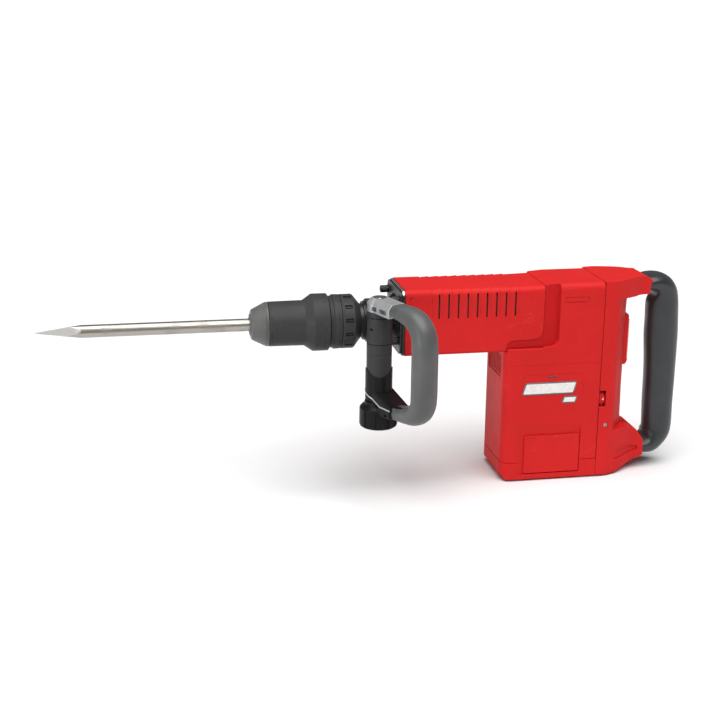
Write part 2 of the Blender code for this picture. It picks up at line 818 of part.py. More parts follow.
def build_stator():
    """Laminated stator, end windings, brush gear and the lower bearing's end shield."""
    centre = (MOTOR_X, 0.0)
    tube("stator_core", "Z", STACK_BOTTOM, STACK_TOP, 43.0, 27.6, centre, 32, dark_steel())
    tube("field_coil_upper", "Z", STACK_TOP + FIT, STACK_TOP + 10.0, 40.0, 29.5, centre, 24, copper())
    tube("field_coil_lower", "Z", STACK_BOTTOM - 10.0, STACK_BOTTOM - FIT, 40.0, 29.5, centre, 24, copper())
    level = 27.0 - MOTOR_DEPTH
    for side, name in ((1.0, "left"), (-1.0, "right")):
        inner, outer = 16.0 * side, 44.0 * side
        limits = (min(inner, outer), max(inner, outer))
        holder = box(
            f"brush_holder_{name}",
            (MOTOR_X - 5.5, MOTOR_X + 5.5),
            limits,
            (level - 8.5, level + 8.5),
            paint=brass(),
        )
        channel = (10.0, 40.0) if side > 0 else (-40.0, -10.0)
        hollow = [((MOTOR_X - 3.5, MOTOR_X + 3.5), channel, (level - 6.5, level + 6.5))]
        cut(holder, boxes(f"brush_channel_{name}", hollow))
        contact, back = 14.5 * side, 31.0 * side
        brush = (min(contact, back), max(contact, back))
        box(
            f"carbon_brush_{name}",
            (MOTOR_X - 3.1, MOTOR_X + 3.1),
            brush,
            (level - 6.1, level + 6.1),
            paint=dark_steel(),
        )
    shield = plate(
        "end_shield",
        "Z",
        rectangle(MOTOR_X - 44.0, MOTOR_X + 44.0, -BLOCK_HALF + 5.0, BLOCK_HALF - 5.0, 9.0),
        1.0 - MOTOR_DEPTH,
        7.0 - MOTOR_DEPTH,
        paint=cast_metal(),
    )
    fuse(
        shield, rod("shield_hub", "Z", 1.0 - MOTOR_DEPTH, 14.0 - MOTOR_DEPTH, 14.5, centre, 24, cutter=True)
    )
    cut(
        shield,
        rod("shield_seat", "Z", 5.0 - MOTOR_DEPTH, 30.0 - MOTOR_DEPTH, 11.0 + FIT, centre, 24, cutter=True),
    )
    low = 5.6 - MOTOR_DEPTH
    tube("motor_bearing_lower", "Z", low, low + 8.0, 11.0, 5.0 + FIT, centre, 24, dark_steel())


def block_outline(inset_by=0.0):
    """Plan outline of the motor block."""
    front = BLOCK_FRONT + inset_by
    half = BLOCK_HALF - inset_by
    rear = SEAM_X - SEAM
    corner = 11.0 - inset_by
    return rectangle(front, rear, -half, half, [corner, 0.0, 0.0, corner], 4)


def build_motor_housing():
    """Red motor housing: a lower pot and an upper rear head, open at the bottom and the rear."""
    split = BARREL_BOTTOM - SEAM
    lower = plate("motor_housing", "Z", block_outline(), -MOTOR_DEPTH, split, paint=red_plastic())
    head_front = BARREL_REAR + SEAM
    head = plate(
        "rear_head",
        "X",
        rectangle(-BLOCK_HALF, BLOCK_HALF, split - 4.0, BARREL_TOP + 3.0, [0.0, 0.0, 8.0, 8.0]),
        head_front,
        SEAM_X - SEAM,
        cutter=True,
    )
    fuse(lower, head)
    wall = CASE_WALL
    rear = SEAM_X + 10.0
    hollow = plate(
        "pot_hollow",
        "Z",
        [(x + (10.0 if x > MOTOR_X else 0.0), y) for x, y in block_outline(wall)],
        -MOTOR_DEPTH - 8.0,
        split - wall,
        cutter=True,
    )
    cut(lower, hollow)
    crown = BARREL_TOP + 3.0 - wall
    half = BLOCK_HALF - wall
    head_hollow = plate(
        "head_hollow",
        "X",
        rectangle(-half, half, split - wall - 6.0, crown, [0.0, 0.0, 5.0, 5.0]),
        head_front - 9.0,
        rear,
        cutter=True,
    )
    cut(lower, head_hollow)
    cut(lower, rod("boss_hole", "Z", -70.0, -30.0, 19.0, (MOTOR_X, 0.0), 32, cutter=True))
    channels = []
    for side in ((BLOCK_HALF - 1.5, BLOCK_HALF + 9.0), (-BLOCK_HALF - 9.0, 1.5 - BLOCK_HALF)):
        channels.append(((BARREL_REAR - 2.2, BARREL_REAR + 22.3), side, (-37.4, BARREL_TOP + 9.0)))
    cut(lower, boxes("side_channels", channels))
    recesses = []
    for side in ((BLOCK_HALF - 1.8, BLOCK_HALF + 9.0), (-BLOCK_HALF - 9.0, 1.8 - BLOCK_HALF)):
        recesses.append(((MOTOR_X - 29.0, MOTOR_X + 64.0), side, (-MOTOR_DEPTH - 9.0, 55.0 - MOTOR_DEPTH)))
    cut(lower, boxes("cover_recesses", recesses))
    louvres = [
        ((BLOCK_FRONT - 9.0, BLOCK_FRONT + 12.0), (y - 1.6, y + 1.6), (-76.0, -50.0))
        for y in (-24.0, -18.0, -12.0, -6.0, 0.0, 6.0, 12.0, 18.0, 24.0)
    ]
    cut(lower, boxes("outlet_louvres", louvres))


def build_bottom_cap():
    """Red cap under the motor with the round foot below the motor axis."""
    low = -MOTOR_DEPTH - CAP_HEIGHT
    cap = plate("bottom_cap", "Z", block_outline(), low, -MOTOR_DEPTH - SEAM, paint=red_plastic())
    trim = plate(
        "cap_trim",
        "Y",
        rounded(
            [
                (BLOCK_FRONT - 5.0, -MOTOR_DEPTH + 9.0),
                (BLOCK_FRONT - 5.0, low + 12.0),
                (BLOCK_FRONT + 7.0, low),
                (SEAM_X + 9.0, low),
                (SEAM_X + 9.0, -MOTOR_DEPTH + 9.0),
            ],
            [0.0, 0.0, 8.0, 0.0, 0.0],
        ),
        -BLOCK_HALF - 9.0,
        BLOCK_HALF + 9.0,
        cutter=True,
    )
    keep_common(cap, trim)
    floor = low + CASE_WALL
    hollow = plate(
        "cap_hollow",
        "Z",
        rectangle(BLOCK_FRONT + 12.0, SEAM_X - 4.0, 4.0 - BLOCK_HALF, BLOCK_HALF - 4.0, 5.0),
        floor,
        -MOTOR_DEPTH + 9.0,
        cutter=True,
    )
    cut(cap, hollow)
    recesses = []
    for side in ((BLOCK_HALF - 1.8, BLOCK_HALF + 9.0), (-BLOCK_HALF - 9.0, 1.8 - BLOCK_HALF)):
        recesses.append(((MOTOR_X - 29.0, MOTOR_X + 64.0), side, (low + 7.0, -MOTOR_DEPTH + 9.0)))
    cut(cap, boxes("cap_recesses", recesses))
    fuse(cap, rod("round_foot", "Z", low - FOOT_HEIGHT, low + 2.0, 29.0, (MOTOR_X, 0.0), 32, cutter=True))


def build_covers_and_badge():
    """Brush covers on both sides, the badge plate and its two small indicator lenses."""
    low = 8.0 - MOTOR_DEPTH - CAP_HEIGHT
    high = 39.0 - MOTOR_DEPTH
    for side, name in ((1.0, "left"), (-1.0, "right")):
        faces = (side * (BLOCK_HALF - 1.8 + FIT), side * (BLOCK_HALF - 0.2))
        outline = rectangle(MOTOR_X - 19.5, MOTOR_X + 61.0, low, high, 3.0, 2)
        plate(f"brush_cover_{name}", "Y", outline, min(faces), max(faces), paint=red_plastic())
    near = -BLOCK_HALF - SEAM
    badge = rectangle(MOTOR_X - 12.0, MOTOR_X + 54.0, -106.0, -88.0, 4.0, 2)
    badge = [(x + (z + 97.0) * 0.3, z) for x, z in badge]
    plate("badge_plate", "Y", badge, near - 0.8, near, paint=finish("badge", (0.78, 0.78, 0.76), 0.4))
    lens = finish("lens", (0.08, 0.01, 0.01), 0.2)
    for index, x in enumerate((MOTOR_X + 16.0, MOTOR_X + 23.6)):
        outline = rectangle(x - 2.3, x + 2.3, -80.6, -78.2)
        plate(f"indicator_lens_{index + 1}", "Y", outline, near - 0.6, near, paint=lens)


# ---------------------------------------------------------------- rear handle


def handle_side():
    """Side outline of the rear handle housing, counter-clockwise."""
    low = -MOTOR_DEPTH - CAP_HEIGHT
    x = SEAM_X
    points = [
        (x + SEAM, low),
        (x + 30.0, low),
        (x + 92.0, low + 7.0),
        (x + 90.4, low + 35.0),
        (x + 69.4, low + 54.0),
        (x + 55.0, low + 63.0),
        (x + 50.0, low + 78.0),
        (x + 49.0, low + 102.0),
        (x + 44.5, low + 118.0),
        (x + 44.5, 5.0),
        (x + 54.0, 16.0),
        (x + 66.0, 21.5),
        (x + 87.4, 31.0),
        (x + 75.4, 53.0),
        (x + 50.0, 55.0),
        (x + SEAM, BARREL_TOP + 3.0),
    ]
    return points


def handle_plan(narrow=0.0):
    """Plan outline of the rear handle housing, counter-clockwise."""
    x = SEAM_X
    half = BLOCK_HALF - narrow
    arm = 27.0 - narrow
    right = [
        (x - 9.0, -half),
        (x + 16.0, -half),
        (x + 40.0, -40.0 + narrow),
        (x + 62.0, -arm),
        (x + 110.0, -arm),
    ]
    return right + [(px, -py) for px, py in reversed(right)]


def build_handle_shells():
    """Two red half shells that meet in the tool's middle plane."""
    wall = 3.5
    low = -MOTOR_DEPTH - CAP_HEIGHT
    side_in = inset(handle_side(), wall)
    side_in = [(x if i not in (0, len(side_in) - 1) else x - 15.0, z) for i, (x, z) in enumerate(side_in)]
    for sign, name in ((1.0, "left"), (-1.0, "right")):
        faces = sorted((sign * SEAM / 2, sign * BLOCK_HALF))
        shell = plate(f"handle_shell_{name}", "Y", handle_side(), faces[0], faces[1], paint=red_plastic())
        keep_common(shell, plate(f"plan_{name}", "Z", handle_plan(), low - 9.0, 90.0, cutter=True))
        inner = sorted((-sign * 5.0, sign * (BLOCK_HALF - wall)))
        hollow = plate(f"shell_hollow_{name}", "Y", side_in, inner[0], inner[1], cutter=True)
        keep_common(hollow, plate(f"plan_in_{name}", "Z", handle_plan(wall), low - 9.0, 90.0, cutter=True))
        cut(shell, hollow)
        windows = [
            ((SEAM_X + 36.0, SEAM_X + 60.0), (-12.0, 12.0), (-2.0 - PADDLE_LENGTH - 2.5, 1.5)),
            ((SEAM_X + 36.0, SEAM_X + 70.0), (-7.0, 7.0), (INLET_Z - 9.0, INLET_Z + 9.0)),
        ]
        cut(shell, boxes(f"rear_windows_{name}", windows))
        if sign < 0:
            slot = [
                ((SEAM_X - 5.0, SEAM_X + 9.7), (-BLOCK_HALF - 9.0, 12.0 - BLOCK_HALF), (-129.0, -103.0)),
            ]
            cut(shell, boxes("dial_slot", slot))


def grip_stations():
    """Stations of the rear grip: reach from the seam, z, direction, half widths."""
    low = -MOTOR_DEPTH - CAP_HEIGHT
    g = GRIP_HALF
    return [
        (82.0, 42.3, 28.0, 12.3, 26.6),
        (99.0, 38.5, -30.0, 16.5, 23.5),
        (106.0, 20.0, -75.0, 20.5, 19.5),
        (107.0, -10.0, -90.0, g - 0.5, 18.0),
        (107.8, -40.0, -90.0, g + 0.5, 18.0),
        (108.8, -90.0, -90.0, g, 18.0),
        (109.2, low + 92.0, -90.0, g - 0.5, 18.0),
        (108.0, low + 57.0, -96.0, g - 1.0, 19.0),
        (102.8, low + 37.0, -128.0, 19.0, 21.5),
        (92.6, low + 21.0, -176.0, 14.0, 26.0),
    ]


def build_rear_grip():
    """Soft rear grip bridging the two handle arms, hollow for the wiring."""
    swept("rear_grip", grip_stations(), (1.0, 0.0, 0.0), (SEAM_X, 0.0, 0.0), wall=5.0, paint=soft_rubber())


def build_rear_controls():
    """Switch paddle and switch, speed dial, control board and the cord inlet."""
    x = SEAM_X
    top = -2.0
    low = top - PADDLE_LENGTH
    pivot = (x + 42.0, 0.0, top - 4.0)
    outline = rounded(
        [
            (x + 40.0, low),
            (x + 53.5, low + 1.0),
            (x + 56.0, low + 5.0),
            (x + 56.0, top - 6.0),
            (x + 53.5, top - 1.0),
            (x + 40.0, top),
        ],
        [1.0, 1.0, 1.5, 1.5, 1.0, 1.0],
        2,
    )
    plate("switch_paddle", "Y", outline, -11.4, 11.4, pivot, red_plastic())
    box("switch_body", (x + 8.0, x + 32.0), (-10.0, 10.0), (low + 10.0, top - 14.0), paint=dark_plastic())
    centre_y = 14.0 - BLOCK_HALF
    dial = toothed(20, 12.0, 12.8, 0.62, 0.4, 0.0, (centre_y, -116.0))
    plate("speed_dial", "X", dial, x + 0.6, x + 8.6, (x + 0.6, centre_y, -116.0), red_plastic())
    box(
        "control_board",
        (x + 10.6, x + 14.0),
        (-34.0, 6.0),
        (-150.0, -98.0),
        paint=finish("board", (0.02, 0.2, 0.08), 0.5),
    )
    gland = [
        (x + 30.0, 6.4),
        (x + 50.5, 6.4),
        (x + 50.5, 4.4),
        (x + 30.0, 4.4),
    ]
    turned("cord_gland", "X", gland, (0.0, INLET_Z), 16, soft_rubber(), origin=x + 30.0)


# ---------------------------------------------------------------- side handle


def build_clamp():
    """Clamp band around the neck with the upright boss that the side handle turns on."""
    inner = NECK_R + FIT
    outer = NECK_R + 6.4
    band = turned(
        "clamp_band",
        "X",
        [
            (CLAMP_FRONT, outer - 1.5),
            (CLAMP_FRONT + 1.5, outer),
            (178.0, outer),
            (179.5, outer - 1.5),
            (179.5, inner),
            (CLAMP_FRONT, inner),
        ],
        steps=32,
        paint=dark_plastic(),
        origin=AUX_X,
    )
    bridge = boxes(
        "clamp_bridge", [((CLAMP_FRONT + 1.0, 178.5), (4.0 - AUX_OFFSET, -NECK_R - 2.5), (-17.0, 12.0))]
    )
    fuse(band, bridge)
    boss = rod("clamp_boss", "Z", -21.4, 14.4, AUX_R, (AUX_X, -AUX_OFFSET), 28, cutter=True)
    fuse(band, boss)
    cut(band, rod("clamp_hole", "Z", -60.0, 60.0, STUD_R + FIT, (AUX_X, -AUX_OFFSET), 16, cutter=True))


def aux_point(reach, aside=0.0):
    """Plan position at a reach along the side handle's direction and a distance aside of it."""
    normal = Vector((-AUX_DIRECTION.y, AUX_DIRECTION.x, 0.0))
    point = Vector((AUX_X, -AUX_OFFSET, 0.0)) + AUX_DIRECTION * reach + normal * aside
    return (point.x, point.y)


def build_side_handle():
    """Upper and lower brackets, loop grip, clamping stud and knob."""
    centre = (AUX_X, -AUX_OFFSET)
    origin = (AUX_X, -AUX_OFFSET, 0.0)
    upper = turned(
        "aux_bracket_upper",
        "Z",
        [(15.2, 0.0), (15.2, AUX_R), (44.0, AUX_R), (45.5, AUX_R - 1.5), (45.5, 0.0)],
        centre,
        32,
        finish("bracket_grey", (0.5, 0.5, 0.5), 0.45),
    )
    arm = [
        aux_point(2.0, -AUX_R + 2.0),
        aux_point(30.0, -12.0),
        aux_point(30.0, 12.0),
        aux_point(2.0, AUX_R - 2.0),
    ]
    fuse(upper, plate("upper_arm", "Z", arm, 28.0, 44.0, cutter=True))
    cut(upper, rod("upper_hole", "Z", 0.0, 60.0, STUD_R + FIT, centre, 16, cutter=True))
    cut(upper, rod("head_recess", "Z", 39.0, 60.0, 9.0, centre, 16, cutter=True))
    lower = turned(
        "aux_bracket_lower",
        "Z",
        [
            (-97.5, 0.0),
            (-97.5, AUX_R + 1.0),
            (-48.0, AUX_R + 1.0),
            (-47.0, AUX_R),
            (-22.2, AUX_R),
            (-22.2, 0.0),
        ],
        centre,
        32,
        dark_plastic(),
    )
    web = [(0.0, -97.5), (26.0, -113.5), (31.0, -114.0), (31.0, -93.0), (19.0, -70.0), (0.0, -62.0)]
    fuse(lower, upright_plate("lower_web", web, 11.0))
    cut(lower, rod("lower_hole", "Z", -160.0, 0.0, STUD_R + FIT, centre, 16, cutter=True))
    cut(lower, rod("knob_room", "Z", -130.0, -98.3, KNOB_R + 0.8, centre, 32, cutter=True))
    stations = [
        (31.5, 36.0, 0.0, 8.5, 12.5),
        (58.0, 33.5, 0.0, 11.5, 14.0),
        (82.0, 30.0, -16.0, 14.5, 15.5),
        (96.0, 17.0, -62.0, 16.5, 16.0),
        (AUX_REACH, -4.0, -90.0, AUX_GRIP_R, AUX_GRIP_R),
        (AUX_REACH, -40.0, -90.0, AUX_GRIP_R + 0.3, AUX_GRIP_R),
        (AUX_REACH, -70.0, -92.0, AUX_GRIP_R, AUX_GRIP_R),
        (96.0, -89.0, -124.0, 15.5, 15.5),
        (80.0, -99.0, -168.0, 13.0, 14.5),
        (58.0, -103.0, -180.0, 11.0, 13.0),
        (32.5, -104.0, -180.0, 9.5, 12.0),
    ]
    swept("aux_grip", stations, AUX_DIRECTION, origin, wall=4.5, sides=14, paint=dark_plastic())
    stud = [
        (-131.0, 0.0),
        (-131.0, STUD_R),
        (39.6, STUD_R),
        (39.6, 7.6),
        (45.0, 7.6),
        (45.0, 0.0),
    ]
    turned("aux_stud", "Z", stud, centre, 16, dark_steel(), origin=0.0)
    flutes = toothed(14, KNOB_R - 1.6, KNOB_R, 0.66, 0.5, 0.0, centre)
    knob = plate("aux_knob", "Z", flutes, -136.5, -104.0, (AUX_X, -AUX_OFFSET, -101.0), dark_plastic())
    fuse(knob, rod("knob_collar", "Z", -110.0, -98.8, 19.0, centre, 32, cutter=True))
    cut(knob, rod("knob_hole", "Z", -132.0, -90.0, STUD_R + FIT, centre, 16, cutter=True))


def upright_plate(name, outline, half):
    """A web in the upright plane of the side handle: (reach, z) outline and half thickness."""
    across = Vector((-AUX_DIRECTION.y, AUX_DIRECTION.x, 0.0))
    bm = bmesh.new()
    base = Vector((AUX_X, -AUX_OFFSET, 0.0)) - across * half
    corners = [bm.verts.new((base + AUX_DIRECTION * r + Vector((0.0, 0.0, z))) * MM) for r, z in outline]
    grown = bmesh.ops.extrude_face_region(bm, geom=[bm.faces.new(corners)])
    moved = [item for item in grown["geom"] if isinstance(item, bmesh.types.BMVert)]
    bmesh.ops.translate(bm, verts=moved, vec=across * 2 * half * MM)
    bmesh.ops.recalc_face_normals(bm, faces=bm.faces)
    mesh = bpy.data.meshes.new(name)
    bm.to_mesh(mesh)
    bm.free()
    return new_object(name, mesh, (0.0, 0.0, 0.0), None, True)


def main():
    start_scene()
    build_chisel()
    build_holder()
    build_lock_sleeve()
    build_angle_ring()
    build_neck()
    build_gearbox()
    build_barrel_cover()
    build_hammer()
    build_crank()
    build_armature()
    build_stator()
    build_motor_housing()
    build_bottom_cap()
    build_covers_and_badge()
    build_handle_shells()
    build_rear_grip()
    build_rear_controls()
    build_clamp()
    build_side_handle()


main()
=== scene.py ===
"""Looks of an electric demolition hammer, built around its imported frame.

Lengths in the classes below are millimetres in the tool's own frame: X runs from the nose of the
tool holder (0) to the rear handle, +Y is the tool's left side, and Z is up from the tool axis.
The modelling bench turns them into metres in the frame's own axes.
"""

import logging
import math
from dataclasses import dataclass, field
from enum import Enum
from typing import Any, Callable, Iterable, Mapping, Sequence

import bmesh
import bpy
from mathutils import Matrix, Vector


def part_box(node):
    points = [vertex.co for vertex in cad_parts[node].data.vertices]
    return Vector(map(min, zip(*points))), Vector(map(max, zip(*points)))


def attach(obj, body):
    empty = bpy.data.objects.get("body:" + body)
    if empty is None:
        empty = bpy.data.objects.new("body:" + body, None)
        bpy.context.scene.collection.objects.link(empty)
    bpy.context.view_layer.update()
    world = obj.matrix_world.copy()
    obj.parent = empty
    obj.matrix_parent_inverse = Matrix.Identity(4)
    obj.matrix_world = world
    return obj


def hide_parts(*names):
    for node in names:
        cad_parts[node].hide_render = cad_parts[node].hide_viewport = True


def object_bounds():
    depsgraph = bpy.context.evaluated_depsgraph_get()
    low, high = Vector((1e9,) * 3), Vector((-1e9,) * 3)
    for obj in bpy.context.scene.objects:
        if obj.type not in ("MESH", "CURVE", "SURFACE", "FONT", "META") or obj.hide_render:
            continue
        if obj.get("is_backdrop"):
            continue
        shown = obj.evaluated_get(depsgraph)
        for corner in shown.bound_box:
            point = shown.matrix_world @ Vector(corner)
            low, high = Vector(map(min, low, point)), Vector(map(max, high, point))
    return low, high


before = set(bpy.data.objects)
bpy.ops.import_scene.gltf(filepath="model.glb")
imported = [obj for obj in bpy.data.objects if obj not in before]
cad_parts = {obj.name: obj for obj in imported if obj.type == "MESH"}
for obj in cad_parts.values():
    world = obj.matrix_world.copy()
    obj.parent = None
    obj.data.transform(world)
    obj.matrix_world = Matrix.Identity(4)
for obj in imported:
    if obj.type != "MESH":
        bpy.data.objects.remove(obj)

LOG = logging.getLogger("demolition_hammer")

Colour = tuple[float, float, float]
Piece = bpy.types.Object
Point = tuple[float, float, float]
Flat = tuple[float, float]
Outline = Sequence[Flat]
PlaceTest = Callable[[Vector], bool]
FaceTest = Callable[[Vector, Vector], bool]

MM = 0.001


class Axis(Enum):
    """The direction that a profile turns about or an outline is carried along."""

    X = 0
    Y = 1
    Z = 2

    @property
    def vector(self) -> Vector:
        """Unit vector along this axis."""
        return Vector([1.0 if i == self.value else 0.0 for i in range(3)])

    def laid(self, u: float, v: float, w: float) -> Point:
        """Put a flat point (u, v) at the distance w along this axis.

        Args:
            u: First flat coordinate: y for X, x for Y and Z.
            v: Second flat coordinate: z for X and Y, y for Z.
            w: Distance along the axis.

        Returns:
            The point as (x, y, z).
        """
        return {Axis.X: (w, u, v), Axis.Y: (u, w, v), Axis.Z: (u, v, w)}[self]


class Body(Enum):
    """The moving bodies of the frame that pieces ride on."""

    MACHINE = "body"
    HOLDER = "holder"
    SLEEVE = "sleeve"
    RING = "ring"
    CHISEL = "chisel"
    PADDLE = "paddle"
    DIAL = "dial"
    CLAMP = "aux_clamp"
    SIDE_HANDLE = "aux_handle"
    KNOB = "aux_knob"


@dataclass(frozen=True)
class Datum:
    """Where the tool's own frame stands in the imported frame, in metres."""

    motor_x: float
    axis_z: float

    @classmethod
    def from_frame(cls) -> "Datum":
        """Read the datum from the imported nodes.

        Returns:
            The datum whose X zero is the tool holder's nose and whose Z zero is the tool axis.
        """
        low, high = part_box("lock_sleeve")
        return cls(motor_x=23.8 * MM - low[0], axis_z=(low[2] + high[2]) / 2)

    def world(self, x: float, y: float, z: float) -> Vector:
        """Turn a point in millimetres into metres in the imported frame."""
        return Vector((x * MM - self.motor_x, y * MM, z * MM + self.axis_z))

    def local(self, point: Vector) -> Vector:
        """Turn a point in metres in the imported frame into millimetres."""
        return Vector(((point.x + self.motor_x) / MM, point.y / MM, (point.z - self.axis_z) / MM))


# ---------------------------------------------------------------- flat outlines


def rounded(points: Outline, radii: float | Sequence[float], arc: int = 6) -> list[Flat]:
    """Replace each corner of an outline by an arc.

    Args:
        points: Corners in order.
        radii: One radius for all corners, or one for each.
        arc: Segments in each arc.

    Returns:
        The outline with its arcs.
    """
    done: list[Flat] = []
    count = len(points)
    for index, corner in enumerate(points):
        radius = radii[index] if isinstance(radii, (list, tuple)) else radii
        if radius <= 0:
            done.append(tuple(corner))
            continue
        here = Vector(corner)
        before = (Vector(points[index - 1]) - here).normalized()
        after = (Vector(points[(index + 1) % count]) - here).normalized()
        half = before.angle(after) / 2
        reach = radius / math.tan(half)
        centre = here + (before + after).normalized() * (radius / math.sin(half))
        first = here + before * reach - centre
        sweep = first.angle_signed(here + after * reach - centre)
        for k in range(arc + 1):
            c, s = math.cos(-sweep * k / arc), math.sin(-sweep * k / arc)
            done.append((centre.x + first.x * c - first.y * s, centre.y + first.x * s + first.y * c))
    return done


def slab(u0: float, u1: float, v0: float, v1: float, radii: float | Sequence[float] = 0.0) -> list[Flat]:
    """Outline of a rectangle, counter-clockwise from (u0, v0), with rounded corners."""
    return rounded([(u0, v0), (u1, v0), (u1, v1), (u0, v1)], radii)


def circle(radius: float, at: Flat = (0.0, 0.0), steps: int = 32, start: float = 0.0) -> list[Flat]:
    """Outline of a circle or, with few steps, of a regular polygon."""
    turns = [start + 2 * math.pi * k / steps for k in range(steps)]
    return [(at[0] + radius * math.cos(t), at[1] + radius * math.sin(t)) for t in turns]


@dataclass(frozen=True)
class Ring:
    """One ring of a grip: its centre, the path's slope in degrees, and its half widths."""

    centre: Point
    slope: float
    half_in: float
    half_across: float


def eased(stations: Sequence[Sequence[float]], steps: int) -> list[list[float]]:
    """Fill in a row of stations along a smooth curve through them.

    Args:
        stations: Rows of numbers, with one row for each station.
        steps: Rows made for each gap.

    Returns:
        All rows, on a Catmull-Rom curve.
    """
    done: list[list[float]] = []
    last = len(stations) - 1
    for index in range(last):
        p0, p1 = stations[max(index - 1, 0)], stations[index]
        p2, p3 = stations[index + 1], stations[min(index + 2, last)]
        for k in range(steps):
            t = k / steps
            row = [
                b + 0.5 * t * ((c - a) + t * ((2 * a - 5 * b + 4 * c - d) + t * (3 * b - a - 3 * c + d)))
                for a, b, c, d in zip(p0, p1, p2, p3)
            ]
            done.append(row)
    done.append(list(stations[last]))
    return done


# ---------------------------------------------------------------- modelling bench


class Bench:
    """Modelling by operators on one new mesh at a time."""

    def __init__(self, datum: Datum) -> None:
        """Keep the datum that turns millimetres into the frame's metres."""
        self.datum = datum

    # -- selection

    def _edit(self, obj: Piece) -> None:
        """Open one object, and nothing else, in edit mode."""
        self._only(obj)
        bpy.ops.object.mode_set(mode="EDIT")
        bpy.ops.mesh.select_mode(type="VERT")

    def _close(self) -> None:
        """Leave edit mode."""
        bpy.ops.object.mode_set(mode="OBJECT")

    def _only(self, obj: Piece) -> None:
        """Select one object and make it active."""
        bpy.ops.object.select_all(action="DESELECT")
        obj.select_set(True)
        bpy.context.view_layer.objects.active = obj

    def _pick(self, obj: Piece, test: PlaceTest) -> None:
        """Select the points, in edit mode, whose place passes a test.

        Args:
            obj: The object that is open.
            test: Takes a place in millimetres.
        """
        shape = bmesh.from_edit_mesh(obj.data)
        for vert in shape.verts:
            vert.select_set(False)
        shape.select_flush(False)
        for vert in shape.verts:
            if test(self.datum.local(vert.co)):
                vert.select_set(True)
        shape.select_flush_mode()
        bmesh.update_edit_mesh(obj.data)

    def _pick_faces(self, obj: Piece, test: FaceTest) -> None:
        """Select the faces, in edit mode, whose centre and normal pass a test.

        Args:
            obj: The object that is open.
            test: Takes the centre in millimetres and the normal.
        """
        bpy.ops.mesh.select_mode(type="FACE")
        shape = bmesh.from_edit_mesh(obj.data)
        for face in shape.faces:
            face.select_set(test(self.datum.local(face.calc_center_median()), face.normal))
        bmesh.update_edit_mesh(obj.data)

    # -- starting shapes

    def chain(self, name: str, points: Iterable[Point]) -> Piece:
        """Draw a line of points by extruding one point from the next, and stay in edit mode.

        Args:
            name: Name of the new object.
            points: Places in millimetres.

        Returns:
            The object, open in edit mode with its last point selected.
        """
        bpy.ops.object.select_all(action="DESELECT")
        bpy.ops.mesh.primitive_plane_add(size=MM)
        obj = bpy.context.object
        obj.name = name
        obj.data.name = name
        self._edit(obj)
        bpy.ops.mesh.select_all(action="SELECT")
        bpy.ops.mesh.merge(type="CENTER")
        before: Vector | None = None
        for point in points:
            here = self.datum.world(*point)
            if before is None:
                bpy.ops.transform.translate(value=here)
            else:
                bpy.ops.mesh.extrude_vertices_move(TRANSFORM_OT_translate={"value": here - before})
            before = here
        return obj

    def prism(self, name: str, axis: Axis, outline: Outline, low: float, high: float) -> Piece:
        """Carry a flat outline along an axis.

        Args:
            name: Name of the new object.
            axis: Direction of the extrusion.
            outline: The flat outline.
            low: Where it starts along the axis.
            high: Where it ends.

        Returns:
            The closed solid.
        """
        obj = self.chain(name, [axis.laid(u, v, low) for u, v in outline])
        bpy.ops.mesh.select_all(action="SELECT")
        bpy.ops.mesh.edge_face_add()
        step = axis.vector * (high - low) * MM
        bpy.ops.mesh.extrude_region_move(TRANSFORM_OT_translate={"value": step})
        self._tidy()
        self._close()
        return obj

    def turned(
        self,
        name: str,
        axis: Axis,
        profile: Sequence[Flat],
        at: Flat = (0.0, 0.0),
        steps: int = 72,
    ) -> Piece:
        """Spin a profile about an axis.

        Args:
            name: Name of the new object.
            axis: Axis of the turning, X or Z.
            profile: (station, radius) pairs. A solid's profile starts and ends at radius 0, and a
                tube's runs up the outer side and back down the inner side.
            at: Where the axis stands: (y, z) for X and (x, y) for Z.
            steps: Steps in the full turn.

        Returns:
            The closed solid of revolution.
        """
        points = [
            (station, at[0], at[1] + radius) if axis is Axis.X else (at[0], at[1] - radius, station)
            for station, radius in profile
        ]
        if profile[0][1] > 0:
            points.append(points[0])
        obj = self.chain(name, points)
        bpy.ops.mesh.select_all(action="SELECT")
        centre = (0.0, *at) if axis is Axis.X else (*at, 0.0)
        bpy.ops.mesh.spin(
            steps=steps, angle=2 * math.pi, center=self.datum.world(*centre), axis=axis.vector,
        )
        self._tidy()
        self._close()
        return obj

    def block(self, name: str, x: Flat, y: Flat, z: Flat) -> Piece:
        """A block between two limits on each axis, drawn as a rectangle and extruded."""
        return self.prism(name, Axis.Z, [(x[0], y[0]), (x[1], y[0]), (x[1], y[1]), (x[0], y[1])], z[0], z[1])

    def spike(self, name: str, tip: Point, apothem: float, length: float, roll: float) -> Piece:
        """A four-sided spike along X that widens from its tip towards +X.

        Args:
            name: Name of the new object.
            tip: Place of the point.
            apothem: Distance from the axis to a face at the wide end.
            length: Length of the spike.
            roll: Turn of the faces about the axis, in degrees.

        Returns:
            The closed spike.
        """
        bpy.ops.object.select_all(action="DESELECT")
        bpy.ops.mesh.primitive_cone_add(
            vertices=4, radius1=apothem * math.sqrt(2) * MM, radius2=0.9 * MM, depth=length * MM,
            location=self.datum.world(tip[0] + length / 2, tip[1], tip[2]),
            rotation=(0.0, -math.pi / 2, 0.0),
        )
        obj = bpy.context.object
        obj.name = name
        bpy.ops.object.transform_apply(location=True, rotation=True, scale=True)
        self._edit(obj)
        bpy.ops.mesh.select_all(action="SELECT")
        bpy.ops.transform.rotate(
            value=math.radians(roll), orient_axis="X", center_override=self.datum.world(*tip),
        )
        self._close()
        return obj

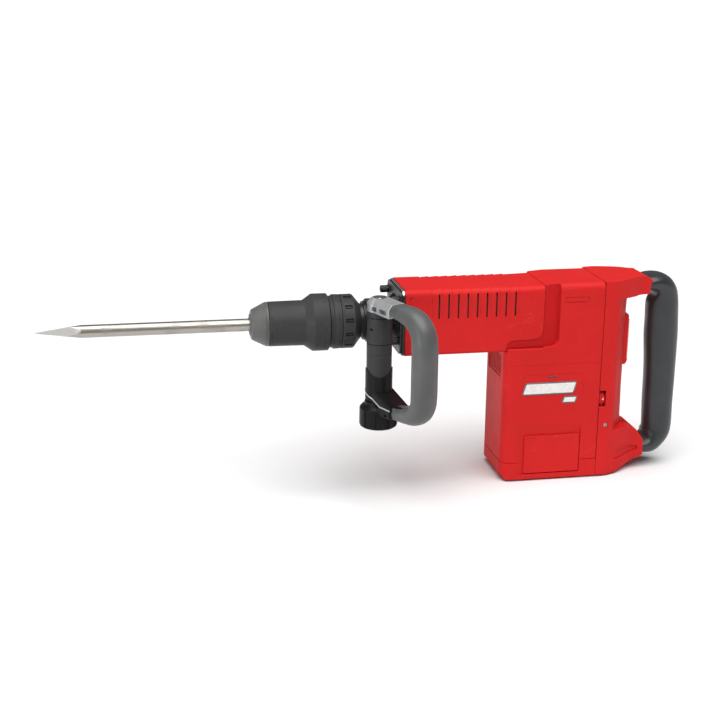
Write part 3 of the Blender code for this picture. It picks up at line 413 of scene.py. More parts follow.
    def _tidy(self) -> None:
        """Merge doubles and turn the normals outwards on all of the open mesh."""
        bpy.ops.mesh.select_all(action="SELECT")
        bpy.ops.mesh.remove_doubles(threshold=2e-6)
        bpy.ops.mesh.normals_make_consistent(inside=False)

    # -- shaping

    def swept(self, name: str, rings: Sequence["Ring"], azimuth: float, sides: int = 40) -> Piece:
        """Carry a round section through a row of rings in an upright plane.

        The rings are extruded and scaled on a straight stack well above the tool, and each is then
        tilted, swung to the plane's azimuth and moved to its place.

        Args:
            name: Name of the new object.
            rings: The rings in order.
            azimuth: Turn of the plane about Z, in degrees from +X.
            sides: Points in each ring.

        Returns:
            The closed solid.
        """
        base, pitch = 5000.0, 50.0
        section: list[Point] = []
        for k in range(sides):
            c, s = math.cos(2 * math.pi * k / sides), math.sin(2 * math.pi * k / sides)
            flat = (math.copysign(abs(c) ** 0.88, c), math.copysign(abs(s) ** 0.88, s))
            section.append((flat[0] * rings[0].half_in, flat[1] * rings[0].half_across, base))
        obj = self.chain(name, [*section, section[0]])
        bpy.ops.mesh.select_all(action="SELECT")
        bpy.ops.mesh.remove_doubles(threshold=2e-6)
        bpy.ops.mesh.select_all(action="SELECT")
        for index, (before, after) in enumerate(zip(rings, rings[1:]), 1):
            bpy.ops.mesh.extrude_edges_move(TRANSFORM_OT_translate={"value": (0.0, 0.0, pitch * MM)})
            bpy.ops.transform.resize(
                value=(after.half_in / before.half_in, after.half_across / before.half_across, 1.0),
                center_override=self.datum.world(0.0, 0.0, base + index * pitch),
            )
        for index, ring in enumerate(rings):
            level = base + index * pitch
            self._pick(obj, lambda p, level=level: abs(p.z - level) < 1.0)
            middle = self.datum.world(0.0, 0.0, level)
            for axis, degrees in (("Y", 90.0 - ring.slope), ("Z", azimuth)):
                bpy.ops.transform.rotate(
                    value=-math.radians(degrees), orient_axis=axis, center_override=middle,
                )
            bpy.ops.transform.translate(value=self.datum.world(*ring.centre) - middle)
        bpy.ops.mesh.select_mode(type="EDGE")
        bpy.ops.mesh.select_all(action="DESELECT")
        bpy.ops.mesh.select_non_manifold(extend=False, use_wire=False, use_multi_face=False)
        bpy.ops.mesh.fill_holes(sides=0)
        self._tidy()
        self._close()
        return obj

    def slice(self, obj: Piece, axis: Axis, stations: Iterable[float]) -> Piece:
        """Add edge loops where planes cross a solid.

        Args:
            obj: The solid.
            axis: Normal of the planes.
            stations: Where the planes stand along the axis.

        Returns:
            The same object.
        """
        self._edit(obj)
        for at in stations:
            bpy.ops.mesh.select_all(action="SELECT")
            bpy.ops.mesh.bisect(plane_co=self.datum.world(*(axis.vector * at)), plane_no=axis.vector)
        self._close()
        return obj

    def push(self, obj: Piece, test: PlaceTest, by: Point) -> Piece:
        """Move the points that pass a test.

        Args:
            obj: The object to shape.
            test: Takes a place in millimetres.
            by: The move, in millimetres.

        Returns:
            The same object.
        """
        self._edit(obj)
        self._pick(obj, test)
        bpy.ops.transform.translate(value=Vector(by) * MM)
        self._close()
        return obj

    def resize(self, obj: Piece, test: PlaceTest, by: Point, about: Point) -> Piece:
        """Scale the points that pass a test about a place.

        Args:
            obj: The object to shape.
            test: Takes a place in millimetres.
            by: Factors on the three axes.
            about: The fixed place, in millimetres.

        Returns:
            The same object.
        """
        self._edit(obj)
        self._pick(obj, test)
        bpy.ops.transform.resize(value=by, center_override=self.datum.world(*about))
        self._close()
        return obj

    def turn(self, obj: Piece, axis: Axis, degrees: float, about: Point) -> Piece:
        """Turn a whole mesh about an axis by the right-hand rule.

        Args:
            obj: The object to turn.
            axis: Direction of the axis.
            degrees: Angle.
            about: A place on the axis, in millimetres.

        Returns:
            The same object.
        """
        self._edit(obj)
        bpy.ops.mesh.select_all(action="SELECT")
        bpy.ops.transform.rotate(
            value=-math.radians(degrees), orient_axis=axis.name, center_override=self.datum.world(*about),
        )
        self._close()
        return obj

    def copies(self, obj: Piece, count: int, step: Point) -> Piece:
        """Repeat a mesh in a row and join the copies into it.

        Args:
            obj: The first one.
            count: How many there are in the end.
            step: Move from one to the next, in millimetres.

        Returns:
            One object that holds them all.
        """
        array = obj.modifiers.new("row", "ARRAY")
        array.count = count
        array.use_relative_offset = False
        array.use_constant_offset = True
        array.constant_offset_displace = Vector(step) * MM
        return self._apply(obj, array)

    def around(self, obj: Piece, axis: Axis, count: int, about: Point) -> Piece:
        """Repeat a mesh in a full circle and join the copies into it.

        Args:
            obj: The first one.
            axis: Axis of the circle.
            count: How many there are in the end.
            about: A place on the axis, in millimetres.

        Returns:
            One object that holds them all.
        """
        made = [obj]
        for index in range(1, count):
            self._only(obj)
            bpy.ops.object.duplicate(linked=False)
            made.append(self.turn(bpy.context.object, axis, 360.0 * index / count, about))
        return self.gather(made)

    def twin(self, obj: Piece, name: str) -> Piece:
        """A copy with its own mesh and a new name."""
        self._only(obj)
        bpy.ops.object.duplicate(linked=False)
        copy = bpy.context.object
        copy.name = name
        copy.data.name = name
        return copy

    def mirrored(self, obj: Piece, name: str) -> Piece:
        """A copy on the other side of the tool's middle plane."""
        copy = self.twin(obj, name)
        self._edit(copy)
        bpy.ops.mesh.select_all(action="SELECT")
        bpy.ops.transform.resize(value=(1.0, -1.0, 1.0), center_override=(0.0, 0.0, 0.0))
        self._tidy()
        self._close()
        return copy

    def gather(self, pieces: Sequence[Piece]) -> Piece:
        """Join meshes, with no change to their shapes, into the first one."""
        if len(pieces) > 1:
            bpy.ops.object.select_all(action="DESELECT")
            for piece in pieces:
                piece.select_set(True)
            bpy.context.view_layer.objects.active = pieces[0]
            bpy.ops.object.join()
        return pieces[0]

    def _apply(self, obj: Piece, modifier: bpy.types.Modifier) -> Piece:
        """Apply a modifier and return its object."""
        self._only(obj)
        bpy.ops.object.modifier_apply(modifier=modifier.name)
        return obj

    def _boolean(
        self, target: Piece, tool: Piece, operation: str, solver: str = "EXACT"
    ) -> Piece:
        """Cut, join or intersect a mesh with another, which is used up."""
        step = target.modifiers.new("shape", "BOOLEAN")
        step.operation = operation
        step.solver = solver
        step.object = tool
        self._apply(target, step)
        bpy.data.objects.remove(tool, do_unlink=True)
        return target

    def cut(self, target: Piece, *tools: Piece) -> Piece:
        """Take tools away from a solid."""
        for tool in tools:
            self._boolean(target, tool, "DIFFERENCE")
        return target

    def fuse(self, target: Piece, *tools: Piece) -> Piece:
        """Join solids into one skin."""
        for tool in tools:
            self._boolean(target, tool, "UNION")
        return target

    def common(self, target: Piece, tool: Piece) -> Piece:
        """Keep only what two solids share."""
        return self._boolean(target, tool, "INTERSECT")

    def keep_side(self, obj: Piece, axis: Axis, at: float, sign: int) -> Piece:
        """Bisect a solid with a plane, keep one side and close it.

        Args:
            obj: The solid.
            axis: Normal of the plane.
            at: Where the plane stands along the axis.
            sign: +1 keeps the side of larger coordinates and -1 the other.

        Returns:
            The same object.
        """
        self._edit(obj)
        bpy.ops.mesh.select_all(action="SELECT")
        bpy.ops.mesh.bisect(
            plane_co=self.datum.world(*(axis.vector * at)), plane_no=axis.vector, use_fill=True,
            clear_inner=sign > 0, clear_outer=sign < 0,
        )
        self._tidy()
        self._close()
        return obj

    def soften(
        self, obj: Piece, width: float, segments: int = 3, angle: float = 32.0
    ) -> Piece:
        """Round every edge sharper than an angle.

        Args:
            obj: The solid.
            width: Width of the rounding in millimetres.
            segments: Segments across it.
            angle: Smallest angle that is rounded, in degrees.

        Returns:
            The same object.
        """
        bevel = obj.modifiers.new("edges", "BEVEL")
        bevel.width = width * MM
        bevel.segments = segments
        bevel.limit_method = "ANGLE"
        bevel.angle_limit = math.radians(angle)
        bevel.miter_outer = "MITER_ARC"
        return self._apply(obj, bevel)

    def hollow(self, obj: Piece, wall: float) -> Piece:
        """Give an open skin a wall that grows inwards."""
        solid = obj.modifiers.new("wall", "SOLIDIFY")
        solid.thickness = wall * MM
        solid.offset = -1.0
        solid.use_even_offset = True
        return self._apply(obj, solid)

    def smooth(self, obj: Piece, angle: float = 38.0) -> Piece:
        """Shade smoothly up to an angle, with flat faces kept flat by weighted normals."""
        self._only(obj)
        bpy.ops.object.shade_smooth_by_angle(angle=math.radians(angle))
        weighted = obj.modifiers.new("shading", "WEIGHTED_NORMAL")
        weighted.keep_sharp = True
        weighted.weight = 80
        return self._apply(obj, weighted)

    def paint(self, obj: Piece, finish: bpy.types.Material, test: FaceTest) -> None:
        """Give the faces that pass a test another finish.

        Args:
            obj: The piece, which already has its main finish.
            finish: The other finish.
            test: Takes a face's centre in millimetres and its normal.
        """
        obj.data.materials.append(finish)
        self._edit(obj)
        self._pick_faces(obj, test)
        obj.active_material_index = len(obj.data.materials) - 1
        bpy.ops.object.material_slot_assign()
        self._close()


# ---------------------------------------------------------------- shader graphs


class Field:
    """A number that varies over a surface; arithmetic on it adds Math nodes."""

    def __init__(self, graph: "Graph", socket: bpy.types.NodeSocket) -> None:
        """Wrap an output socket of a graph."""
        self.graph = graph
        self.socket = socket

    def _math(self, operation: str, first: Any, second: Any = None) -> "Field":
        """Add one Math node.

        Args:
            operation: The node's operation.
            first: A field or a number.
            second: Another, where the operation takes two.

        Returns:
            The node's result.
        """
        values = {0: first} if second is None else {0: first, 1: second}
        node = self.graph.node("ShaderNodeMath", {"operation": operation}, values)
        return Field(self.graph, node.outputs[0])

    def __add__(self, other: Any) -> "Field":
        """Sum of this field and another value."""
        return self._math("ADD", self, other)

    __radd__ = __add__

    def __sub__(self, other: Any) -> "Field":
        """This field less another value."""
        return self._math("SUBTRACT", self, other)

    def __rsub__(self, other: Any) -> "Field":
        """Another value less this field."""
        return self._math("SUBTRACT", other, self)

    def __mul__(self, other: Any) -> "Field":
        """Product of this field and another value."""
        return self._math("MULTIPLY", self, other)

    __rmul__ = __mul__

    def __truediv__(self, other: Any) -> "Field":
        """This field divided by another value."""
        return self._math("DIVIDE", self, other)

    def __pow__(self, other: Any) -> "Field":
        """This field raised to a power."""
        return self._math("POWER", self, other)

    def abs(self) -> "Field":
        """Size of this field without its sign."""
        return self._math("ABSOLUTE", self)

    def most(self, other: Any) -> "Field":
        """The larger of two values."""
        return self._math("MAXIMUM", self, other)

    def stepped(self, low: float, high: float) -> "Field":
        """Rise smoothly from 0 at one value of this field to 1 at another.

        Args:
            low: Value that gives 0.
            high: Value that gives 1.

        Returns:
            The mask.
        """
        node = self.graph.node(
            "ShaderNodeMapRange", {"interpolation_type": "SMOOTHSTEP", "clamp": True},
            {0: self, 1: low, 2: high, 3: 0.0, 4: 1.0},
        )
        return Field(self.graph, node.outputs[0])


class Graph:
    """A material's node tree with one Principled shader."""

    def __init__(self, name: str) -> None:
        """Start an empty node tree under a name."""
        self.material = bpy.data.materials.new(name)
        self.material.use_nodes = True
        self.tree = self.material.node_tree
        self.tree.nodes.clear()
        coordinates = self.node("ShaderNodeTexCoord")
        self.place = coordinates.outputs["Object"]

    def node(
        self,
        kind: str,
        settings: Mapping[str, Any] | None = None,
        sockets: Mapping[str | int, Any] | None = None,
    ) -> bpy.types.Node:
        """Add a node.

        Args:
            kind: The node's type.
            settings: Its own settings, set first. The key "stops" gives a ramp's (place, colour) pairs.
            sockets: Values, fields or output sockets for its inputs.

        Returns:
            The node.
        """
        node = self.tree.nodes.new(kind)
        for key, value in (settings or {}).items():
            if key == "stops":
                while len(node.color_ramp.elements) < len(value):
                    node.color_ramp.elements.new(0.5)
                for element, (place, colour) in zip(node.color_ramp.elements, value):
                    element.position = place
                    element.color = (*colour, 1.0)
            else:
                setattr(node, key, value)
        for key, value in (sockets or {}).items():
            if isinstance(value, Field):
                value = value.socket
            if isinstance(value, bpy.types.NodeSocket):
                self.tree.links.new(value, node.inputs[key])
            else:
                target = node.inputs[key]
                if target.type == "RGBA" and len(value) == 3:
                    value = (*value, 1.0)
                target.default_value = value
        return node

    def noise(
        self,
        scale: float,
        detail: float = 2.0,
        stretch: Point = (1.0, 1.0, 1.0),
        turn: Point = (0.0, 0.0, 0.0),
        distortion: float = 0.0,
    ) -> Field:
        """Noise on the piece's own coordinates.

        Args:
            scale: Cells per metre.
            detail: Octaves.
            stretch: Factors on the three axes.
            turn: Turn of the pattern in radians.
            distortion: Warp of the pattern.

        Returns:
            Values around 0.5.
        """
        mapping = self.node(
            "ShaderNodeMapping", None, {"Vector": self.place, "Scale": stretch, "Rotation": turn},
        )
        node = self.node(
            "ShaderNodeTexNoise", {"noise_dimensions": "3D"},
            {
                "Vector": mapping.outputs[0], "Scale": scale, "Detail": detail, "Roughness": 0.55,
                "Distortion": distortion,
            },
        )
        return Field(self, node.outputs[0])

    def cells(self, scale: float, feature: str = "F1", stretch: Point = (1.0, 1.0, 1.0)) -> Field:
        """Distance field of a cell pattern on the piece's own coordinates.

        Args:
            scale: Cells per metre.
            feature: Which distance is given.
            stretch: Factors on the three axes.

        Returns:
            The distance.
        """
        mapping = self.node("ShaderNodeMapping", None, {"Vector": self.place, "Scale": stretch})
        node = self.node(
            "ShaderNodeTexVoronoi", {"feature": feature}, {"Vector": mapping.outputs[0], "Scale": scale},
        )
        return Field(self, node.outputs[0])

    def scratches(self, scale: float, seed: float) -> Field:
        """Sparse hairline scratches in two directions, as a mask."""
        lines: Field | None = None
        for index, turn in enumerate(((0.3, 0.9, seed), (1.1, 0.2, seed + 1.3))):
            drawn = self.noise(scale, 1.0, (0.05, 1.0, 0.12), turn, 0.6)
            one = 1 - (drawn - 0.5).abs().stepped(0.0, 0.012)
            patch = self.noise(26.0 + 9.0 * index, 2.0, turn=(seed, 0.4, 0.1)).stepped(0.52, 0.68)
            one = one * patch
            lines = one if lines is None else lines.most(one)
        return lines

    def edges(self, reach: float) -> Field:
        """Mask of convex and concave edges.

        Args:
            reach: How far from an edge it rises, in metres.

        Returns:
            0 on open surfaces and up to 1 on edges.
        """
        soft = self.node("ShaderNodeBevel", {"samples": 4}, {"Radius": reach})
        real = self.node("ShaderNodeNewGeometry")
        dot = self.node(
            "ShaderNodeVectorMath", {"operation": "DOT_PRODUCT"},
            {0: soft.outputs[0], 1: real.outputs["Normal"]},
        )
        return (1 - Field(self, dot.outputs["Value"])).stepped(0.02, 0.22)

    def mix(self, factor: Any, first: Any, second: Any) -> bpy.types.NodeSocket:
        """Blend two colours by a field or a number."""
        node = self.node("ShaderNodeMix", {"data_type": "RGBA"}, {"Factor": factor, 6: first, 7: second})
        return node.outputs[2]

    def bump(self, height: Field, distance: float, strength: float, over: Any = None) -> bpy.types.NodeSocket:
        """Raise the surface by a field.

        Args:
            height: The field.
            distance: Height of its unit, in metres.
            strength: Share of the effect.
            over: A normal that it adds to.

        Returns:
            The normal.
        """
        sockets: dict[str | int, Any] = {"Height": height, "Distance": distance, "Strength": strength}
        if over is not None:
            sockets["Normal"] = over
        return self.node("ShaderNodeBump", None, sockets).outputs[0]

    def finish(self, sockets: Mapping[str | int, Any]) -> bpy.types.Material:
        """Close the graph with its Principled shader.

        Args:
            sockets: Values and links of the shader's inputs.

        Returns:
            The material.
        """
        shader = self.node("ShaderNodeBsdfPrincipled", None, sockets)
        self.node("ShaderNodeOutputMaterial", None, {"Surface": shader.outputs[0]})
        return self.material


# ---------------------------------------------------------------- finishes


@dataclass(frozen=True)
class Moulded:
    """Injection-moulded plastic with a fine spark-eroded grain, flow mottling and rubbed edges."""

    name: str
    colour: Colour
    worn: Colour
    roughness: float = 0.4
    grain: float = 2300.0
    depth: float = 0.00003
    mottle: float = 0.14
    rub: float = 0.5
    coat: float = 0.0

    def material(self) -> bpy.types.Material:
        """Build the node tree.

        Returns:
            The material.
        """
        g = Graph(self.name)
        cloud = g.noise(14.0, 3.0)
        smudge = g.noise(70.0, 4.0, (1.0, 1.0, 0.6))
        grain = g.noise(self.grain, 2.0)
        hair = g.scratches(330.0, 0.7)
        edge = g.edges(0.0011) * g.noise(160.0, 3.0).stepped(0.38, 0.62)
        dark = tuple(c * (1.0 - 2.0 * self.mottle) for c in self.colour)
        base = g.mix(cloud.stepped(0.3, 0.7), dark, self.colour)
        base = g.mix(edge * self.rub, base, self.worn)
        base = g.mix(hair * 0.18, base, self.worn)
        rough = (smudge - 0.5) * 0.16 + self.roughness + hair * 0.1 - edge * 0.08 + (grain - 0.5) * 0.08
        normal = g.bump(grain, self.depth, 0.5)
        normal = g.bump(g.noise(45.0, 2.0), 0.00025, 0.12, normal)
        return g.finish(
            {
                "Base Color": base, "Roughness": rough, "Normal": normal, "IOR": 1.2,
                "Coat Weight": self.coat, "Coat Roughness": 0.25,
            }
        )


@dataclass(frozen=True)
class SoftGrip:
    """Overmoulded rubber with a leathery grain and a dull bloom."""

    name: str
    colour: Colour
    bloom: Colour
    roughness: float = 0.5
    grain: float = 900.0

    def material(self) -> bpy.types.Material:
        """Build the node tree.

        Returns:
            The material.
        """
        g = Graph(self.name)
        cloud = g.noise(18.0, 3.0).stepped(0.35, 0.7)
        leather = g.cells(self.grain)
        fine = g.noise(3200.0, 1.0)
        wiped = g.noise(55.0, 4.0, (1.0, 1.0, 0.5)).stepped(0.4, 0.75)
        base = g.mix(cloud * 0.6, self.colour, self.bloom)
        rough = wiped * 0.12 + self.roughness - leather * 0.06
        normal = g.bump(leather, 0.00006, 0.45)
        normal = g.bump(fine, 0.00001, 0.4, normal)
        return g.finish(
            {
                "Base Color": base, "Roughness": rough, "Normal": normal, "IOR": 1.5, "Sheen Weight": 0.12,
                "Sheen Roughness": 0.5,
            }
        )


@dataclass(frozen=True)
class WorkedSteel:
    """Steel with the lines that its tool left, handling stains and bright edges."""

    name: str
    colour: Colour
    stain: Colour
    roughness: float = 0.3
    lines: Point = (0.02, 1.0, 1.0)
    line_scale: float = 1500.0
    line_depth: float = 0.00002
    metallic: float = 1.0
    stained: float = 0.35

    def material(self) -> bpy.types.Material:
        """Build the node tree.

        Returns:
            The material.
        """
        g = Graph(self.name)
        lines = g.noise(self.line_scale, 3.0, self.lines)
        stains = g.noise(34.0, 5.0, distortion=0.8).stepped(0.46, 0.72)
        specks = g.noise(420.0, 3.0).stepped(0.6, 0.74)
        edge = g.edges(0.0008)
        base = g.mix(stains * self.stained + specks * 0.25, self.colour, self.stain)
        bright = tuple(min(1.0, c * 1.35 + 0.05) for c in self.colour)
        base = g.mix(edge * 0.6, base, bright)
        rough = (lines - 0.5) * 0.22 + self.roughness + stains * 0.14 + specks * 0.08 - edge * 0.06
        normal = g.bump(lines, self.line_depth, 0.5)
        normal = g.bump(specks, 0.00004, 0.3, normal)
        return g.finish(
            {"Base Color": base, "Roughness": rough, "Metallic": self.metallic, "Normal": normal},
        )


@dataclass(frozen=True)
class CastMetal:
    """Blasted casting, bare or under a thin coat of paint."""

    name: str
    colour: Colour
    pit: Colour
    roughness: float = 0.45
    metallic: float = 1.0
    grain: float = 1300.0

    def material(self) -> bpy.types.Material:
        """Build the node tree.

        Returns:
            The material.
        """
        g = Graph(self.name)
        shot = g.cells(self.grain, "SMOOTH_F1")
        cloud = g.noise(40.0, 4.0)
        edge = g.edges(0.0009) * g.noise(220.0, 2.0).stepped(0.35, 0.6)
        base = g.mix(cloud.stepped(0.35, 0.75), self.colour, self.pit)
        bright = tuple(min(1.0, c * 1.5 + 0.08) for c in self.colour)
        base = g.mix(edge * 0.55, base, bright)
        rough = (cloud - 0.5) * 0.2 + self.roughness - edge * 0.1
        normal = g.bump(shot, 0.00008, 0.35)
        normal = g.bump(g.noise(120.0, 3.0), 0.0002, 0.12, normal)
        return g.finish({"Base Color": base, "Roughness": rough, "Metallic": self.metallic, "Normal": normal})


@dataclass(frozen=True)
class Winding:
    """Lacquered copper wire or a ribbed conductor."""

    name: str
    colour: Colour
    lacquer: Colour
    pitch: float = 900.0

    def material(self) -> bpy.types.Material:
        """Build the node tree.

        Returns:
            The material.
        """
        g = Graph(self.name)
        strands = g.noise(self.pitch, 1.0, (1.0, 1.0, 0.15))
        base = g.mix(strands.stepped(0.3, 0.7), self.colour, self.lacquer)
        rough = (strands - 0.5) * 0.2 + 0.34
        normal = g.bump(strands, 0.0002, 0.6)
        return g.finish({"Base Color": base, "Roughness": rough, "Metallic": 0.9, "Normal": normal})


@dataclass(frozen=True)
class Laminated:
    """A stack of thin electrical sheets, seen edge on."""

    name: str
    colour: Colour
    gap: Colour
    pitch: float = 0.0007

    def material(self) -> bpy.types.Material:
        """Build the node tree.

        Returns:
            The material.
        """
        g = Graph(self.name)
        split = g.node("ShaderNodeSeparateXYZ", None, {0: g.place})
        height = Field(g, split.outputs[2])
        sheets = (height * (2 * math.pi / self.pitch))._math("SINE", height * (2 * math.pi / self.pitch))
        rust = g.noise(90.0, 4.0).stepped(0.5, 0.75)
        base = g.mix(sheets.stepped(-0.2, 0.8), self.gap, self.colour)
        base = g.mix(rust * 0.3, base, (0.16, 0.08, 0.045))
        normal = g.bump(sheets, 0.00012, 0.6)
        return g.finish(
            {"Base Color": base, "Roughness": rust * 0.2 + 0.38, "Metallic": 0.85, "Normal": normal},
        )


@dataclass(frozen=True)
class Glazed:
    """A small clear-coated part such as a lens, a label or a circuit board."""

    name: str
    colour: Colour
    shade: Colour
    roughness: float = 0.2
    scale: float = 300.0
    coat: float = 0.6

    def material(self) -> bpy.types.Material:
        """Build the node tree.

        Returns:
            The material.
        """
        g = Graph(self.name)
        fleck = g.noise(self.scale, 3.0)
        base = g.mix(fleck.stepped(0.35, 0.7), self.colour, self.shade)
        normal = g.bump(fleck, 0.00002, 0.3)
        return g.finish(
            {
                "Base Color": base, "Roughness": (fleck - 0.5) * 0.1 + self.roughness, "Normal": normal,
                "Coat Weight": self.coat, "Coat Roughness": 0.08,
            }
        )


class Finishes:
    """Every finish of the tool, made once and handed out by name."""

    def __init__(self) -> None:
        """Name the finishes; each is built when it is first asked for."""
        self.kinds: dict[str, Any] = {
            "red": Moulded(
                "red_abs", (0.60, 0.0165, 0.0165), (0.74, 0.10, 0.09), 0.48, rub=0.3, mottle=0.035,
            ),
            # Channel floors: a rougher matt red, and a darker red that paints the shade in the recessed
            # channel.
            "red_channel_shade": Moulded(
                "red_abs_matt", (0.52, 0.010, 0.011), (0.60, 0.05, 0.05), 0.56, rub=0.2, mottle=0.05,
            ),
            "nylon": Moulded(
                "glass_filled_nylon", (0.045, 0.045, 0.046), (0.13, 0.13, 0.13), 0.40, mottle=0.1,
            ),
            "gloss_nylon": Moulded(
                "black_nylon", (0.010, 0.010, 0.011), (0.06, 0.06, 0.06), 0.34, mottle=0.08, rub=0.35,
            ),
            "side_grip": SoftGrip(
                "side_grip_rubber", (0.062, 0.064, 0.063), (0.10, 0.104, 0.102), 0.44, 1500.0,
            ),
            "rear_grip": SoftGrip(
                "rear_grip_rubber", (0.014, 0.018, 0.020), (0.026, 0.032, 0.037), 0.36, 1300.0,
            ),
            "cap_rubber": SoftGrip("cap_rubber", (0.060, 0.059, 0.057), (0.11, 0.11, 0.105), 0.5, 1100.0),
            "rubber": SoftGrip("boot_rubber", (0.012, 0.012, 0.012), (0.03, 0.03, 0.03), 0.55, 1100.0),
            "chisel": WorkedSteel("chisel_steel", (0.40, 0.375, 0.34), (0.20, 0.175, 0.15), 0.34),
            "ground": WorkedSteel(
                "ground_facets", (0.55, 0.54, 0.52), (0.34, 0.33, 0.31), 0.46, (1.0, 0.05, 1.0), 1100.0,
                stained=0.5,
            ),
            "turned": WorkedSteel(
                "turned_steel", (0.46, 0.45, 0.43), (0.25, 0.23, 0.2), 0.3, (1.0, 0.03, 0.03),
            ),
            "black_steel": WorkedSteel(
                "blackened_steel", (0.030, 0.030, 0.032), (0.06, 0.05, 0.04), 0.36, (1.0, 0.2, 0.2),
                metallic=0.85,
            ),
            "cast": CastMetal("cast_aluminium", (0.56, 0.57, 0.58), (0.38, 0.39, 0.40)),
            # Flange rim metal, kept only on upward faces: a painted highlight of the top light.
            "rim_top_highlight_metal": CastMetal("machined_rim", (0.70, 0.71, 0.72), (0.5, 0.51, 0.52), 0.32),
            "dark_cast": CastMetal("dark_casting", (0.07, 0.07, 0.072), (0.04, 0.04, 0.042), 0.5, 0.6),
            "black_cast": CastMetal(
                "painted_casting", (0.012, 0.012, 0.013), (0.022, 0.022, 0.022), 0.42, 0.0,
            ),
            "bracket": CastMetal("bracket_metal", (0.50, 0.51, 0.52), (0.40, 0.41, 0.42), 0.42, 0.6),
            "copper": Winding("copper_wire", (0.55, 0.22, 0.1), (0.36, 0.13, 0.05)),
            "brass": WorkedSteel("brass_sheet", (0.62, 0.45, 0.18), (0.35, 0.24, 0.1), 0.34),
            "laminate": Laminated("sheet_stack", (0.22, 0.22, 0.23), (0.05, 0.05, 0.05)),
            "carbon": CastMetal("brush_carbon", (0.02, 0.02, 0.02), (0.035, 0.035, 0.035), 0.6, 0.2),
            "badge": Glazed("badge_pale", (0.80, 0.79, 0.77), (0.70, 0.69, 0.67), 0.3, 160.0, 0.3),
            "badge_dark": Glazed("badge_dark", (0.09, 0.09, 0.10), (0.14, 0.14, 0.15), 0.35, 260.0, 0.3),
            "lens": Glazed("lens_smoke", (0.035, 0.006, 0.006), (0.06, 0.01, 0.01), 0.15),
            "board": Glazed("circuit_board", (0.02, 0.16, 0.06), (0.01, 0.09, 0.03), 0.3, 700.0),
            "ink": Glazed("dial_ink", (0.92, 0.80, 0.78), (0.85, 0.70, 0.68), 0.4, 900.0, 0.0),
        }
        self.made: dict[str, bpy.types.Material] = {}

    def __getitem__(self, name: str) -> bpy.types.Material:
        """Hand out a finish by name."""
        if name not in self.made:
            self.made[name] = self.kinds[name].material()
        return self.made[name]


# ---------------------------------------------------------------- handing pieces over


class Shop:
    """What every sub-assembly works with: the bench, the finishes and the handing over of pieces."""

    def __init__(self, bench: Bench, finishes: Finishes) -> None:
        """Keep the bench and the finishes."""
        self.bench = bench
        self.finishes = finishes
        self.count = 0

    def hand_over(
        self,
        obj: Piece,
        body: Body,
        finish: str,
        slot: str,
        replaces: Sequence[str] = (),
        angle: float = 38.0,
    ) -> Piece:
        """Finish a piece: shade it, dress it and let it ride on its body.

        Args:
            obj: The piece.
            body: The body that it moves with.
            finish: Name of its finish.
            slot: The record's material slot; not used.
            replaces: Frame nodes that it stands for.
            angle: Largest angle that is shaded smoothly, in degrees.

        Returns:
            The same piece.
        """
        self.bench.smooth(obj, angle)
        obj.data.materials.clear()
        obj.data.materials.append(self.finishes[finish])
        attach(obj, body.value)
        if replaces:
            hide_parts(*replaces)
        self.count += 1
        LOG.info("%s: %d faces on %s", obj.name, len(obj.data.polygons), body.value)
        return obj


# ---------------------------------------------------------------- sub-assemblies


@dataclass
class SubAssembly:
    """A group of pieces that is built and dressed together."""

    made: dict[str, Piece] = field(default_factory=dict, init=False, repr=False)

    def build(self, bench: Bench) -> None:
        """Model the pieces."""
        raise NotImplementedError

    def dress(self, shop: Shop) -> None:
        """Hand the pieces over with their finishes."""
        raise NotImplementedError


@dataclass
class PointChisel(SubAssembly):
    """Point chisel with its round shank, two closed grooves and a point of four ground facets."""

    tip: float = -283.0
    seat: float = 117.0
    shaft: float = 8.6
    shank: float = 9.0
    point: float = 67.0
    roll: float = 63.0

    def build(self, bench: Bench) -> None:
        """Turn the bar, grind the point and mill the grooves.

        Args:
            bench: The modelling bench.
        """
        bar = [
            (self.tip - 4.0, 0.0), (self.tip - 4.0, self.shaft), (6.0, self.shaft), (8.0, self.shank),
            (self.seat - 2.0, self.shank), (self.seat - 0.6, self.shank - 1.0),
            (self.seat, self.shank - 2.2), (self.seat, 0.0),
        ]
        chisel = bench.turned("point_chisel", Axis.X, bar, steps=64)
        length = self.seat - self.tip + 40.0
        apothem = (self.shaft + 0.4) * length / self.point
        bench.common(chisel, bench.spike("grind", (self.tip, 0.0, 0.0), apothem, length, self.roll))
        groove = bench.prism("groove", Axis.Y, slab(59.0, 95.0, -3.4, 3.4, 3.3), 6.2, 12.0)
        bench.cut(chisel, bench.mirrored(groove, "far_groove"), groove)
        self.made["chisel"] = chisel

    def dress(self, shop: Shop) -> None:
        """Give the bar its drawn finish and the point its ground one."""
        chisel = shop.hand_over(self.made["chisel"], Body.CHISEL, "chisel", "chisel_steel", ("chisel",), 24.0)
        limit = self.tip + self.point + 3.0
        shop.bench.paint(
            chisel, shop.finishes["ground"], lambda place, normal: place.x < limit and normal.x < -0.06,
        )


